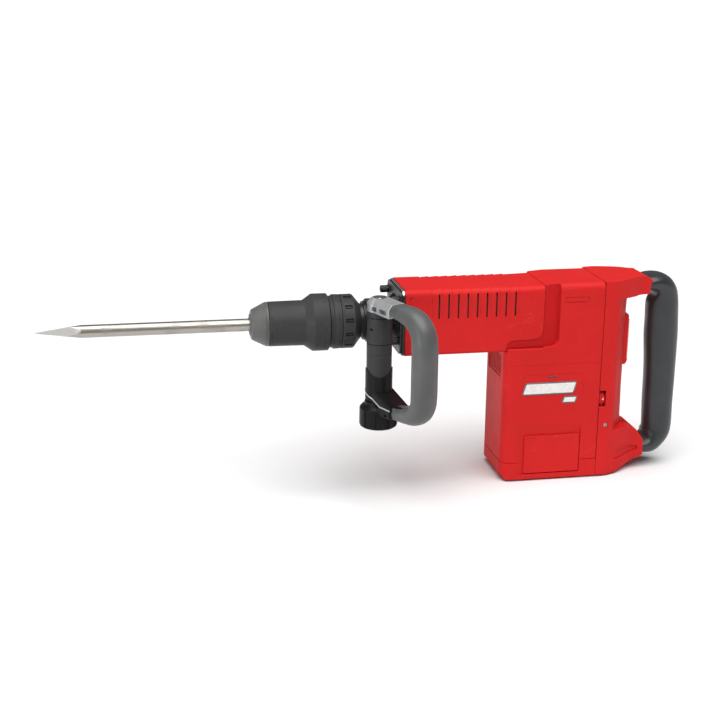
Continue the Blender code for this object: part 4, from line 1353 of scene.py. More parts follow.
@dataclass
class ToolHead(SubAssembly):
    """Dust cap, locking sleeve, retaining collar and the notched ring behind them."""

    sleeve: float = 30.5
    skirt: float = 39.2
    ring: float = 37.2
    bore: float = 19.9
    notches: int = 12
    steps: int = 96

    def build(self, bench: Bench) -> None:
        """Turn the four rings and notch the last one.

        Args:
            bench: The modelling bench.
        """
        self.made["cap"] = bench.turned("nose_cap", Axis.X, self._cap(), steps=self.steps)
        self.made["sleeve"] = bench.turned("slide_sleeve", Axis.X, self._sleeve(), steps=self.steps)
        self.made["collar"] = bench.turned("holder_collar", Axis.X, self._collar(), steps=self.steps)
        ring = bench.turned("index_ring", Axis.X, self._ring(), steps=self.steps)
        notch = bench.prism("notch", Axis.Z, slab(125.8, 136.6, -3.0, 3.0, 1.2), 34.6, 42.0)
        rib = bench.prism("notch_rib", Axis.Z, slab(127.0, 135.4, -0.7, 0.7, 0.4), 33.4, 36.2)
        for tool in (notch, rib):
            bench.turn(tool, Axis.X, 180.0 / self.notches, (0.0, 0.0, 0.0))
        bench.cut(ring, bench.around(notch, Axis.X, self.notches, (0.0, 0.0, 0.0)))
        bench.fuse(ring, bench.around(rib, Axis.X, self.notches, (0.0, 0.0, 0.0)))
        self.made["ring"] = ring

    def _cap(self) -> list[Flat]:
        """Profile of the dust cap, with its front lip and the bead at its rear."""
        return [
            (-1.0, 13.9), (-0.7, 14.5), (0.6, 15.2), (0.8, 18.8), (1.5, 20.3), (2.6, 21.2), (18.5, 29.1),
            (19.2, 29.3), (19.4, 28.9), (19.8, 28.9), (20.0, 29.8), (20.6, 30.1), (22.9, 30.1),
            (23.4, 29.6), (23.4, self.bore), (8.6, self.bore), (8.6, 10.2), (0.8, 9.9), (-0.4, 9.8),
            (-1.0, 10.3),
        ]

    def _sleeve(self) -> list[Flat]:
        """Profile of the locking sleeve, from its front groove to its flared skirt."""
        r, s = self.sleeve, self.skirt
        return [
            (23.8, r - 1.0), (24.2, r - 0.4), (25.0, r), (26.4, r), (26.6, r - 0.5), (27.2, r - 0.5),
            (27.4, r), (70.8, r + 0.4), (72.2, r + 0.7), (73.2, r + 1.3), (82.8, s - 0.9), (83.6, s - 0.3),
            (84.8, s), (97.8, s), (98.0, s - 0.5), (98.7, s - 0.5), (98.9, s), (103.4, s), (104.4, s - 0.3),
            (105.0, s - 0.9), (105.0, s - 1.5), (85.0, s - 1.5), (72.0, r - 3.0), (46.0, r - 3.0),
            (44.0, self.bore), (23.8, self.bore),
        ]

    def _collar(self) -> list[Flat]:
        """Profile of the retaining collar behind the skirt."""
        s = self.skirt
        return [
            (106.0, s - 4.4), (106.5, s - 3.8), (110.4, s - 3.7), (110.9, s - 3.2), (111.7, s - 2.2),
            (112.5, s - 1.9), (116.8, s - 1.9), (117.1, s - 2.5), (117.7, s - 2.5), (118.0, s - 1.9),
            (120.8, s - 2.1), (121.6, s - 2.8), (121.6, self.bore), (106.0, self.bore),
        ]

    def _ring(self) -> list[Flat]:
        """Profile of the notched ring, which tapers at its rear."""
        r = self.ring
        return [
            (122.0, r - 1.1), (122.4, r - 0.4), (123.2, r), (124.0, r), (124.2, r - 0.4), (124.7, r - 0.4),
            (124.9, r), (138.0, r), (139.2, r - 0.3), (140.2, r - 1.1), (147.4, 27.2), (148.4, 25.9),
            (149.0, 25.2), (149.0, 24.3), (142.0, 24.3), (138.0, r - 6.0), (127.0, r - 4.5),
            (127.0, self.bore), (122.0, self.bore),
        ]

    def dress(self, shop: Shop) -> None:
        """Rubber for the cap and moulded nylon for the rest."""
        shop.hand_over(self.made["cap"], Body.HOLDER, "cap_rubber", "rubber", ("dust_cap",), 24.0)
        shop.hand_over(self.made["sleeve"], Body.SLEEVE, "nylon", "dark_plastic", ("lock_sleeve",), 24.0)
        shop.hand_over(
            self.made["collar"], Body.HOLDER, "nylon", "dark_plastic", ("retaining_collar",), 24.0,
        )
        shop.hand_over(self.made["ring"], Body.RING, "nylon", "dark_plastic", ("angle_ring",), 28.0)


@dataclass
class Neck(SubAssembly):
    """Painted neck casting, its machined flange rim, bright only on its upward faces as a painted highlight,
    and the four socket-head screws in washers.
    """

    radius: float = 23.6
    bore: float = 20.3
    plate: Flat = (198.0, 201.2)
    rim: Flat = (201.3, 204.6)
    screws: tuple[Flat, ...] = ((34.0, 35.0), (-34.0, 35.0), (34.0, -22.0), (-34.0, -22.0))
    head: float = 5.4
    thread: float = 3.0

    def build(self, bench: Bench) -> None:
        """Turn the neck, add its flange and webs, and make the screws.

        Args:
            bench: The modelling bench.
        """
        self.made["neck"] = self._casting(bench)
        self.made["rim"] = self._rim(bench)
        first = self._screw(bench)
        for index, (y, z) in enumerate(self.screws, 1):
            piece = bench.twin(first, f"socket_screw_{index}")
            self.made[f"screw_{index}"] = bench.push(piece, lambda place: True, (0.0, y, z))
        bpy.data.objects.remove(first, do_unlink=True)

    def _casting(self, bench: Bench) -> Piece:
        """The turned neck with ribs, webs and the front plate of its flange.

        Args:
            bench: The modelling bench.

        Returns:
            The casting.
        """
        r = self.radius
        profile = [
            (147.0, r - 0.9), (147.6, r - 0.1), (153.5, r), (153.6, 25.8), (154.0, 26.6), (154.8, 26.6),
            (155.1, 25.2), (155.6, 25.2), (155.9, 26.8), (156.8, 26.8), (157.3, 26.0), (157.5, r),
            (183.0, r), (190.0, r + 3.0), (197.0, r + 8.2), (201.0, r + 9.0), (204.0, r + 9.0),
            (204.0, self.bore), (147.0, self.bore),
        ]
        neck = bench.turned("neck_casting", Axis.X, profile, steps=72)
        low, high = self.plate
        flange = bench.prism("front_plate", Axis.X, slab(-43.0, 43.0, -40.0, 48.0, 9.0), low, high)
        bench.soften(flange, 0.8, 2)
        bench.cut(flange, bench.prism("plate_bore", Axis.X, circle(27.0, steps=48), low - 5.0, high + 5.0))
        bench.fuse(neck, flange)
        web = bench.prism(
            "web", Axis.Y, [(181.0, 21.5), (199.0, 21.5), (199.0, 37.0), (196.6, 37.0)], -2.2, 2.2,
        )
        bench.soften(web, 0.7, 2)
        bench.fuse(neck, *self._webs(bench, web))
        for y, z in self.screws:
            boss = bench.turned(
                "pad", Axis.X, [(197.4, 0.0), (197.4, 7.6), (198.2, 8.4), (199.5, 8.4), (199.5, 0.0)],
                (y, z), 32,
            )
            bench.fuse(neck, boss)
        holes = []
        for y, z in self.screws:
            hole = [(180.0, 0.0), (180.0, 5.8), (197.95, 5.8), (197.95, 3.4), (224.0, 3.4), (224.0, 0.0)]
            holes.append(bench.turned("screw_hole", Axis.X, hole, (y, z), 24))
        return bench.cut(neck, *holes)

    @staticmethod
    def _webs(bench: Bench, first: Piece) -> list[Piece]:
        """Four webs around the neck.

        Args:
            bench: The modelling bench.
            first: The upper one.

        Returns:
            All four.
        """
        made = [first]
        for index in range(1, 4):
            made.append(bench.turn(bench.twin(first, f"web_{index}"), Axis.X, 90.0 * index, (0.0, 0.0, 0.0)))
        return made

    def _rim(self, bench: Bench) -> Piece:
        """The machined rear plate of the flange, which stands proud of the black one; only its upward faces
        are dressed bright, as a painted highlight.

        Args:
            bench: The modelling bench.

        Returns:
            The rim.
        """
        low, high = self.rim
        rim = bench.prism(
            "flange_rim", Axis.X, slab(-44.4, 44.4, -41.4, 49.4, [5.0, 5.0, 9.0, 9.0]), low, high,
        )
        bench.soften(rim, 0.7, 2)
        bench.cut(rim, bench.prism("rim_bore", Axis.X, circle(33.2, steps=64), low - 5.0, high + 5.0))
        return bench.cut(
            rim,
            *(
                bench.prism("rim_hole", Axis.X, circle(3.5, at, 24), low - 5.0, high + 5.0)
                for at in self.screws
            ),
        )

    def _screw(self, bench: Bench) -> Piece:
        """A cap screw on the tool axis, with a hexagon socket, a knurled head and a split washer.

        Args:
            bench: The modelling bench.

        Returns:
            The screw.
        """
        h = self.head
        profile = [
            (186.1, 0.0), (186.1, h - 1.1), (186.8, h - 0.4), (187.4, h - 0.25), (195.6, h - 0.25),
            (195.8, h), (197.7, h), (197.7, self.thread), (223.0, self.thread - 0.1), (223.0, 0.0),
        ]
        screw = bench.turned("socket_screw", Axis.X, profile, steps=40)
        bench.cut(screw, bench.prism("socket", Axis.X, circle(3.1, steps=6), 180.0, 189.6))
        groove = bench.prism("knurl", Axis.X, circle(0.32, (h - 0.12, 0.0), 6), 188.2, 194.8)
        return bench.cut(screw, bench.around(groove, Axis.X, 30, (0.0, 0.0, 0.0)))

    def dress(self, shop: Shop) -> None:
        """Black paint on the casting, bright metal on the rim's upward faces as a painted highlight with
        black paint on its other faces, and blackened screws.
        """
        shop.hand_over(self.made["neck"], Body.MACHINE, "black_cast", "cast", ("neck_flange",), 30.0)
        # Only the rim's upward faces keep the bright metal, a painted highlight of the top light; its other
        # faces are painted black.
        rim = shop.hand_over(self.made["rim"], Body.MACHINE, "rim_top_highlight_metal", "cast", ("neck_flange",), 30.0)
        shop.bench.paint(rim, shop.finishes["black_cast"], lambda place, normal: normal.z < 0.3)
        for index in range(1, 5):
            shop.hand_over(
                self.made[f"screw_{index}"], Body.MACHINE, "black_steel", "dark_steel",
                (f"flange_screw_{index}",), 30.0,
            )


@dataclass
class SideHandle(SubAssembly):
    """Clamp on the neck, and the swivelling loop handle with its brackets, stud and knob."""

    x: float = 168.5
    y: float = -50.0
    angle: float = 66.0
    barrel: float = 17.2
    stud: float = 4.5
    knob: float = 26.0
    flutes: int = 10
    stations: tuple[tuple[float, ...], ...] = (
        (41.2, 34.2, 0.0, 9.2, 14.6), (48.0, 34.4, -3.0, 10.6, 14.4), (58.0, 33.6, -5.0, 11.8, 14.2),
        (72.0, 32.0, -11.0, 13.4, 15.0), (84.5, 27.5, -30.0, 15.0, 15.6), (94.0, 19.0, -54.0, 16.2, 16.1),
        (99.2, 7.0, -76.0, 16.6, 16.5), (100.5, -8.0, -89.0, 16.7, 16.7), (100.5, -40.0, -90.0, 16.9, 16.7),
        (100.5, -66.0, -91.0, 16.8, 16.7), (99.0, -80.0, -108.0, 16.4, 16.3),
        (93.0, -91.0, -134.0, 15.4, 15.6), (82.0, -98.4, -158.0, 13.6, 14.8),
        (68.0, -101.8, -172.0, 12.0, 13.9), (56.0, -103.8, -178.0, 11.0, 13.4),
        (45.5, -104.6, -180.0, 10.4, 13.6),
    )

    def plan(self, reach: float, aside: float = 0.0) -> Flat:
        """Plan position at a reach along the handle and a distance aside of it."""
        c, s = math.cos(math.radians(self.angle)), -math.sin(math.radians(self.angle))
        return (self.x + c * reach - s * aside, self.y + s * reach + c * aside)

    @property
    def axis(self) -> Point:
        """A place on the upright axis that the handle turns about."""
        return (self.x, self.y, 0.0)

    def build(self, bench: Bench) -> None:
        """Model the clamp, the brackets, the loop, the stud and the knob.

        Args:
            bench: The modelling bench.
        """
        self.made["clamp"] = self._clamp(bench)
        self.made["cap"] = self._cap(bench)
        self.made["upper"] = self._serrated(bench, "upper_barrel", 18.4, 26.4, (18.4,))
        bench.cut(self.made["upper"], self._bore(bench, 0.0, 60.0))
        lower = self._serrated(bench, "lower_barrel", -72.0, -18.2, (-18.2,), groove=-32.0)
        self.made["lower"] = bench.cut(lower, self._bore(bench, -90.0, 0.0))
        self.made["scoop"] = self._scoop(bench)
        self.made["strip"] = self._strip(bench)
        self.made["loop"] = self._loop(bench)
        self.made["stud"] = self._stud(bench)
        self.made["knob"] = self._knob(bench)

    def _bore(self, bench: Bench, low: float, high: float) -> Piece:
        """The stud's hole."""
        return bench.prism("stud_hole", Axis.Z, circle(self.stud + 0.4, (self.x, self.y), 32), low, high)

    def _serrated(
        self, bench: Bench, name: str, low: float, high: float, ends: Sequence[float], groove: float = 0.0
    ) -> Piece:
        """An upright barrel with ratchet teeth round some of its ends.

        Args:
            bench: The modelling bench.
            name: Name of the piece.
            low: Its lower end.
            high: Its upper end.
            ends: Ends that carry teeth.
            groove: Height of a turned groove, or 0 for none.

        Returns:
            The barrel.
        """
        r = self.barrel
        profile = [(low, 0.0), (low, r - 0.4), (low + 0.4, r)]
        if groove:
            profile += [
                (groove - 0.6, r), (groove - 0.4, r - 0.5), (groove + 0.4, r - 0.5), (groove + 0.6, r),
            ]
        profile += [(high - 0.4, r), (high, r - 0.4), (high, 0.0)]
        barrel = bench.turned(name, Axis.Z, profile, (self.x, self.y), 80)
        for end in ends:
            tooth = bench.prism(
                "tooth", Axis.X, [(-1.5, end), (0.0, end + 0.75), (1.5, end), (0.0, end - 0.75)], 13.5,
                24.0,
            )
            bench.push(tooth, lambda place: True, (self.x, self.y, 0.0))
            bench.cut(barrel, bench.around(tooth, Axis.Z, 28, self.axis))
        return barrel

    def _clamp(self, bench: Bench) -> Piece:
        """Band around the neck, the bridge and the upright boss with its ratchet ends.

        Args:
            bench: The modelling bench.

        Returns:
            The clamp.
        """
        profile = [
            (158.0, 28.4), (158.8, 29.6), (160.2, 30.0), (166.6, 30.0), (167.0, 29.5), (170.0, 29.5),
            (170.4, 30.0), (177.4, 30.0), (178.7, 29.6), (179.5, 28.4), (179.5, 24.0), (158.0, 24.0),
        ]
        band = bench.turned("neck_band", Axis.X, profile, steps=72)
        bridge = bench.block("bridge", (159.0, 178.5), (4.0 + self.y, -26.1), (-17.0, 12.0))
        bench.soften(bridge, 1.5, 2)
        boss = self._serrated(bench, "boss", -17.8, 18.0, (-17.8, 18.0))
        bench.fuse(band, bridge, boss)
        bench.cut(band, self._bore(bench, -60.0, 60.0))
        window = bench.prism("peep", Axis.X, slab(-2.6, 2.6, 1.2, 4.8, 1.1), 14.6, 24.0)
        bench.push(window, lambda place: True, (self.x, self.y, 0.0))
        return bench.cut(band, bench.turn(window, Axis.Z, -139.0, self.axis))

    def _cap(self, bench: Bench) -> Piece:
        """Metal cap on the upper barrel, with its arm, two side slots and the recess for the bolt.

        Args:
            bench: The modelling bench.

        Returns:
            The cap.
        """
        r, half = self.barrel, 15.4
        turns = [math.radians(64.0 + 232.0 * k / 40) for k in range(41)]
        outline = [self.plan(r * math.cos(t), r * math.sin(t)) for t in turns]
        outline += [self.plan(41.0, -half), self.plan(41.0, half)]
        cap = bench.prism("bracket_cap", Axis.Z, outline, 26.0, 44.6)
        bench.slice(cap, Axis.Z, [37.6])
        seam = self.plan(41.0)

        turn = math.radians(self.angle)

        def far(place: Vector) -> bool:
            """Tell whether a place is at the grip's end of the arm."""
            return (place.x - self.x) * math.cos(turn) - (place.y - self.y) * math.sin(turn) > 26.0

        bench.resize(cap, lambda p: p.z > 44.0 and not far(p), (0.66, 0.66, 1.0), (self.x, self.y, 44.6))
        bench.resize(cap, lambda p: p.z > 44.0 and far(p), (0.66, 0.66, 1.0), (*seam, 44.6))
        bench.push(cap, lambda p: far(p), (0.0, 0.0, -1.2))
        bench.soften(cap, 1.0, 3, 30.0)
        recess = bench.prism("recess", Axis.Z, circle(9.2, (self.x, self.y), 48), 39.0, 60.0)
        bench.cut(cap, recess, self._bore(bench, 0.0, 60.0))
        for start, end in ((4.6, 13.4), (20.0, 35.0)):
            corners = [(self.x + reach, z) for reach, z in slab(start, end, 28.2, 34.8, 0.8)]
            slot = bench.prism("side_slot", Axis.Y, corners, self.y - 30.0, self.y - 8.0)
            bench.cut(cap, bench.turn(slot, Axis.Z, -self.angle, self.axis))
        return cap

    def _upright(self, bench: Bench, name: str, outline: Outline, half: float) -> Piece:
        """A plate in the handle's own upright plane.

        Args:
            bench: The modelling bench.
            name: Name of the piece.
            outline: (reach, z) corners.
            half: Half of its thickness.

        Returns:
            The plate.
        """
        corners = [(self.x + reach, z) for reach, z in outline]
        plate = bench.prism(name, Axis.Y, corners, self.y - half, self.y + half)
        return bench.turn(plate, Axis.Z, -self.angle, self.axis)

    def _scoop(self, bench: Bench) -> Piece:
        """Black sleeve with an arched upper edge and the web that carries the loop's lower end.

        Args:
            bench: The modelling bench.

        Returns:
            The sleeve and web.
        """
        outer = self.barrel + 1.3
        profile = [
            (-97.6, self.stud + 0.4), (-97.6, outer - 0.8), (-96.8, outer), (-42.4, outer),
            (-42.0, outer - 0.5), (-42.0, self.barrel + 0.06), (-73.0, self.barrel + 0.06),
            (-73.0, self.stud + 0.4),
        ]
        sleeve = bench.turned("lower_scoop", Axis.Z, profile, (self.x, self.y), 80)
        arch = bench.prism("arch", Axis.X, circle(22.0, (0.0, -41.0), 64), -40.0, 40.0)
        bench.push(arch, lambda place: True, (self.x, self.y, 0.0))
        bench.cut(sleeve, bench.turn(arch, Axis.Z, -96.0, self.axis))
        web = [
            (0.0, -76.0), (7.0, -80.5), (48.0, -97.8), (48.0, -112.0), (30.0, -113.6), (28.0, -113.6),
            (26.0, -113.2), (17.0, -106.5), (10.0, -100.0), (0.0, -97.3),
        ]
        plate = self._upright(bench, "web", web, 16.6)
        bench.soften(plate, 2.2, 3, 40.0)
        inlay = self._upright(
            bench, "inlay",
            [(20.0, -86.0), (50.0, -94.0), (76.0, -90.2), (80.0, -93.0), (60.0, -99.0), (20.0, -101.0)],
            9.4,
        )
        bench.soften(inlay, 1.4, 3, 40.0)
        bench.fuse(sleeve, plate, inlay)
        room = bench.prism("knob_room", Axis.Z, circle(self.knob + 0.8, (self.x, self.y), 64), -130.0, -98.3)
        bench.cut(sleeve, self._bore(bench, -160.0, 0.0), room)
        corners = [(self.x + reach, z) for reach, z in slab(35.0, 41.0, -110.4, -107.0, 0.8)]
        slot = bench.prism("web_slot", Axis.Y, corners, self.y - 30.0, self.y - 14.5)
        return bench.cut(sleeve, bench.turn(slot, Axis.Z, -self.angle, self.axis))

    def _strip(self, bench: Bench) -> Piece:
        """Bright grey strip along the lower edge of the web, partly a frame edge and partly a painted
        highlight of that edge.

        Args:
            bench: The modelling bench.

        Returns:
            The strip.
        """
        path = [
            (-16.0, -83.6), (-16.0, -82.0), (26.0, -98.6), (48.4, -98.6), (48.4, -100.4), (25.6, -100.4),
        ]
        middle, wide = (self.x, self.y), self.barrel + 1.9
        strip = self._upright(bench, "web_trim", path, 25.0)
        reach = bench.prism("trim_reach", Axis.Z, circle(wide, middle, 80), -130.0, -60.0)
        bench.fuse(
            reach,
            self._upright(
                bench, "trim_face", [(1.0, -125.0), (60.0, -125.0), (60.0, -65.0), (1.0, -65.0)], 17.2,
            ),
        )
        bench.common(strip, reach)
        bench.cut(strip, bench.prism("trim_core", Axis.Z, circle(wide - 0.75, middle, 80), -135.0, -55.0))
        bench.cut(
            strip,
            self._upright(
                bench, "trim_slab", [(1.0, -130.0), (70.0, -130.0), (70.0, -60.0), (1.0, -60.0)], 16.4,
            ),
        )
        return bench.soften(strip, 0.2, 1)

    def _loop(self, bench: Bench) -> Piece:
        """Loop grip, swept along its stations.

        Args:
            bench: The modelling bench.

        Returns:
            The loop.
        """
        rings = [
            Ring((*self.plan(reach), z), slope, half_in, half_across) for reach, z, slope, half_in,
            half_across in eased(self.stations, 3)
        ]
        return bench.swept("loop_grip", rings, -self.angle, 44)

    def _stud(self, bench: Bench) -> Piece:
        """Hexagon bolt that clamps the handle.

        Args:
            bench: The modelling bench.

        Returns:
            The bolt.
        """
        centre = (self.x, self.y)
        rod = [(-131.0, 0.0), (-131.0, self.stud - 0.5), (-130.5, self.stud), (40.0, self.stud), (40.0, 0.0)]
        bolt = bench.turned("clamp_bolt", Axis.Z, rod, centre, 40)
        head = bench.prism("bolt_head", Axis.Z, circle(8.3, centre, 6, 0.3), 39.8, 44.9)
        chamfer = bench.turned(
            "head_chamfer", Axis.Z, [(39.6, 0.0), (39.6, 8.8), (43.9, 8.8), (44.9, 7.3), (44.9, 0.0)],
            centre, 48,
        )
        return bench.fuse(bolt, bench.common(head, chamfer))

    def _knob(self, bench: Bench) -> Piece:
        """Fluted clamping knob under the handle.

        Args:
            bench: The modelling bench.

        Returns:
            The knob.
        """
        r, centre = self.knob, (self.x, self.y)
        profile = [
            (-136.5, 0.0), (-136.5, r - 6.0), (-135.8, r - 3.0), (-134.2, r - 0.9), (-132.0, r),
            (-110.4, r), (-108.6, r - 0.4), (-107.4, r - 1.4), (-104.2, r - 4.6), (-103.2, 19.6),
            (-99.6, 19.0), (-98.8, 18.2), (-98.8, 0.0),
        ]
        knob = bench.turned("clamp_knob", Axis.Z, profile, centre, 112)
        flute = bench.prism("flute", Axis.Z, slab(r - 1.6, r + 6.0, -1.7, 1.7, 0.8), -140.0, -111.5)
        bench.push(flute, lambda place: True, (self.x, self.y, 0.0))
        bench.cut(knob, bench.around(flute, Axis.Z, self.flutes, self.axis))
        return bench.cut(
            knob, bench.prism("knob_hole", Axis.Z, circle(self.stud + 0.4, centre, 32), -132.0, -90.0),
        )

    def dress(self, shop: Shop) -> None:
        """Nylon and rubber on the handle, bare metal on the cap and on the web's edge strip, which partly
        paints the highlight along that edge.
        """
        give, made = shop.hand_over, self.made
        give(made["clamp"], Body.CLAMP, "nylon", "dark_plastic", ("clamp_band",), 30.0)
        give(made["cap"], Body.SIDE_HANDLE, "bracket", "bracket_grey", ("aux_bracket_upper",), 30.0)
        give(made["upper"], Body.SIDE_HANDLE, "nylon", "dark_plastic", ("aux_bracket_upper",), 30.0)
        give(made["lower"], Body.SIDE_HANDLE, "nylon", "dark_plastic", ("aux_bracket_lower",), 30.0)
        give(made["scoop"], Body.SIDE_HANDLE, "gloss_nylon", "dark_plastic", ("aux_bracket_lower",), 30.0)
        # Grey strip on the web's lower edge: partly a frame edge, partly a painted highlight.
        give(made["strip"], Body.SIDE_HANDLE, "bracket", "bracket_grey", ("aux_bracket_lower",), 30.0)
        give(made["loop"], Body.SIDE_HANDLE, "side_grip", "rubber", ("aux_grip",), 40.0)
        give(made["stud"], Body.SIDE_HANDLE, "turned", "dark_steel", ("aux_stud",), 30.0)
        give(made["knob"], Body.KNOB, "gloss_nylon", "dark_plastic", ("aux_knob",), 30.0)


@dataclass
class BarrelCover(SubAssembly):
    """Red cover over the gearbox, with a shingled crown, vents and the front end of the side channel."""

    front: float = 205.0
    rear: float = 400.5
    half: float = 45.0
    low: float = -42.0
    top: float = 50.0
    wall: float = 3.0
    shingles: int = 10
    first_shingle: float = 242.0
    shingle: float = 13.45
    vents: int = 9
    first_vent: float = 251.6
    vent: float = 13.4
    floor: float = 43.6

    def build(self, bench: Bench) -> None:
        """Carry the section along the tool, step its crown, hollow it and cut its openings.

        Args:
            bench: The modelling bench.
        """
        h = self.half
        section = rounded(
            [(-h, self.low), (h, self.low), (h, self.top), (-h, self.top)], [5.0, 5.0, 8.5, 8.5], 8,
        )
        at = next(index for index, (y, z) in enumerate(section) if y > 0 and z > 0)
        back = max(index for index, (y, z) in enumerate(section) if y < 0 and z > 0)
        section = [
            *section[:at], (h, 9.0), (h, 12.0), *section[at : back + 1], (-h, 12.0), (-h, 9.0),
            *section[back + 1 :]
        ]
        cover = bench.prism("barrel_shell", Axis.X, section, self.front, self.rear)
        stations = [self.first_shingle + self.shingle * k for k in range(self.shingles)]
        bench.slice(cover, Axis.X, [station + side for station in stations for side in (-0.2, 0.2)])
        for station in stations:
            bench.resize(
                cover, lambda p, s=station: abs(p.x - s - 0.2) < 0.1 and p.z > 10.0, (1.0, 0.984, 0.978),
                (station, 0.0, 9.0),
            )
        bench.soften(cover, 0.5, 2, 60.0)
        inner = slab(-h + 3.0, h - 3.0, self.low + 3.0, self.top - 3.6, [3.0, 3.0, 6.0, 6.0])
        bench.cut(cover, bench.prism("cover_room", Axis.X, inner, self.front - 5.0, self.rear + 5.0))
        vent = bench.prism(
            "vent", Axis.Y, slab(self.first_vent - 1.2, self.first_vent + 1.2, 9.0, 43.4, 1.1), -60.0, 60.0,
        )
        bench.cut(cover, bench.copies(vent, self.vents, (self.vent, 0.0, 0.0)))
        bench.cut(cover, *self._steps(bench, stations))
        bench.cut(cover, *self._channels(bench))
        mark = bench.prism(
            "mark", Axis.Y,
            [(210.2, 34.6), (211.2, 34.4), (211.7, 38.4), (214.9, 40.2), (214.6, 41.2), (210.9, 39.2)],
            -46.0, -44.2,
        )
        bench.cut(cover, mark)
        boss = bench.block("boss_notch", (378.0, 406.0), (-19.0, 19.0), (-47.0, -37.5))
        self.made["cover"] = bench.cut(cover, boss)

    def _steps(self, bench: Bench, stations: Sequence[float]) -> list[Piece]:
        """Cutters for the fine groove behind each shingle, over the crown and down the upper sides.

        Args:
            bench: The modelling bench.
            stations: Where the shingles end.

        Returns:
            The cutters.
        """
        h, cutters = self.half, []
        for index, station in enumerate(stations):
            outer = slab(-h - 2.0, h + 2.0, self.low, self.top + 2.0, [0.0, 0.0, 9.0, 9.0])
            hoop = bench.prism(f"hoop_{index}", Axis.X, outer, station - 0.35, station + 0.35)
            core = slab(-h + 0.9, h - 0.9, self.low - 5.0, self.top - 1.5, [0.0, 0.0, 7.6, 7.6])
            bench.cut(hoop, bench.prism("hoop_core", Axis.X, core, station - 3.0, station + 3.0))
            cutters.append(bench.keep_side(hoop, Axis.Z, 14.0, 1))
        return cutters

    def _channels(self, bench: Bench) -> list[Piece]:
        """Cutters for the shallow channel that runs under the cover's sides.

        Args:
            bench: The modelling bench.

        Returns:
            One for each side.
        """
        outline = rounded(
            [(340.0, -60.0), (410.0, -60.0), (410.0, 60.0), (398.4, 60.0), (398.4, -22.9), (349.0, -24.5)],
            [0.0, 0.0, 0.0, 0.0, 13.0, 9.0], 10,
        )
        near = bench.prism("near_channel", Axis.Y, outline, -60.0, -self.floor)
        bench.push(near, lambda p: p.y > -50.0 and p.z > -40.0 and p.x < 400.0, (1.4, 0.0, -1.4))
        return [bench.mirrored(near, "far_channel"), near]

    def dress(self, shop: Shop) -> None:
        """Red plastic, with a channel floor that is matt and painted darker as shade."""
        cover = shop.hand_over(
            self.made["cover"], Body.MACHINE, "red", "red_plastic", ("barrel_cover",), 28.0,
        )
        limit = self.floor + 0.1
        # The channel floor gets the darker red: painted shade in the recess, plus a matt finish.
        shop.bench.paint(
            cover, shop.finishes["red_channel_shade"], lambda place,
            normal: place.x > 348.0 and 43.0 < abs(place.y) < limit and abs(normal.y) > 0.9,
        )


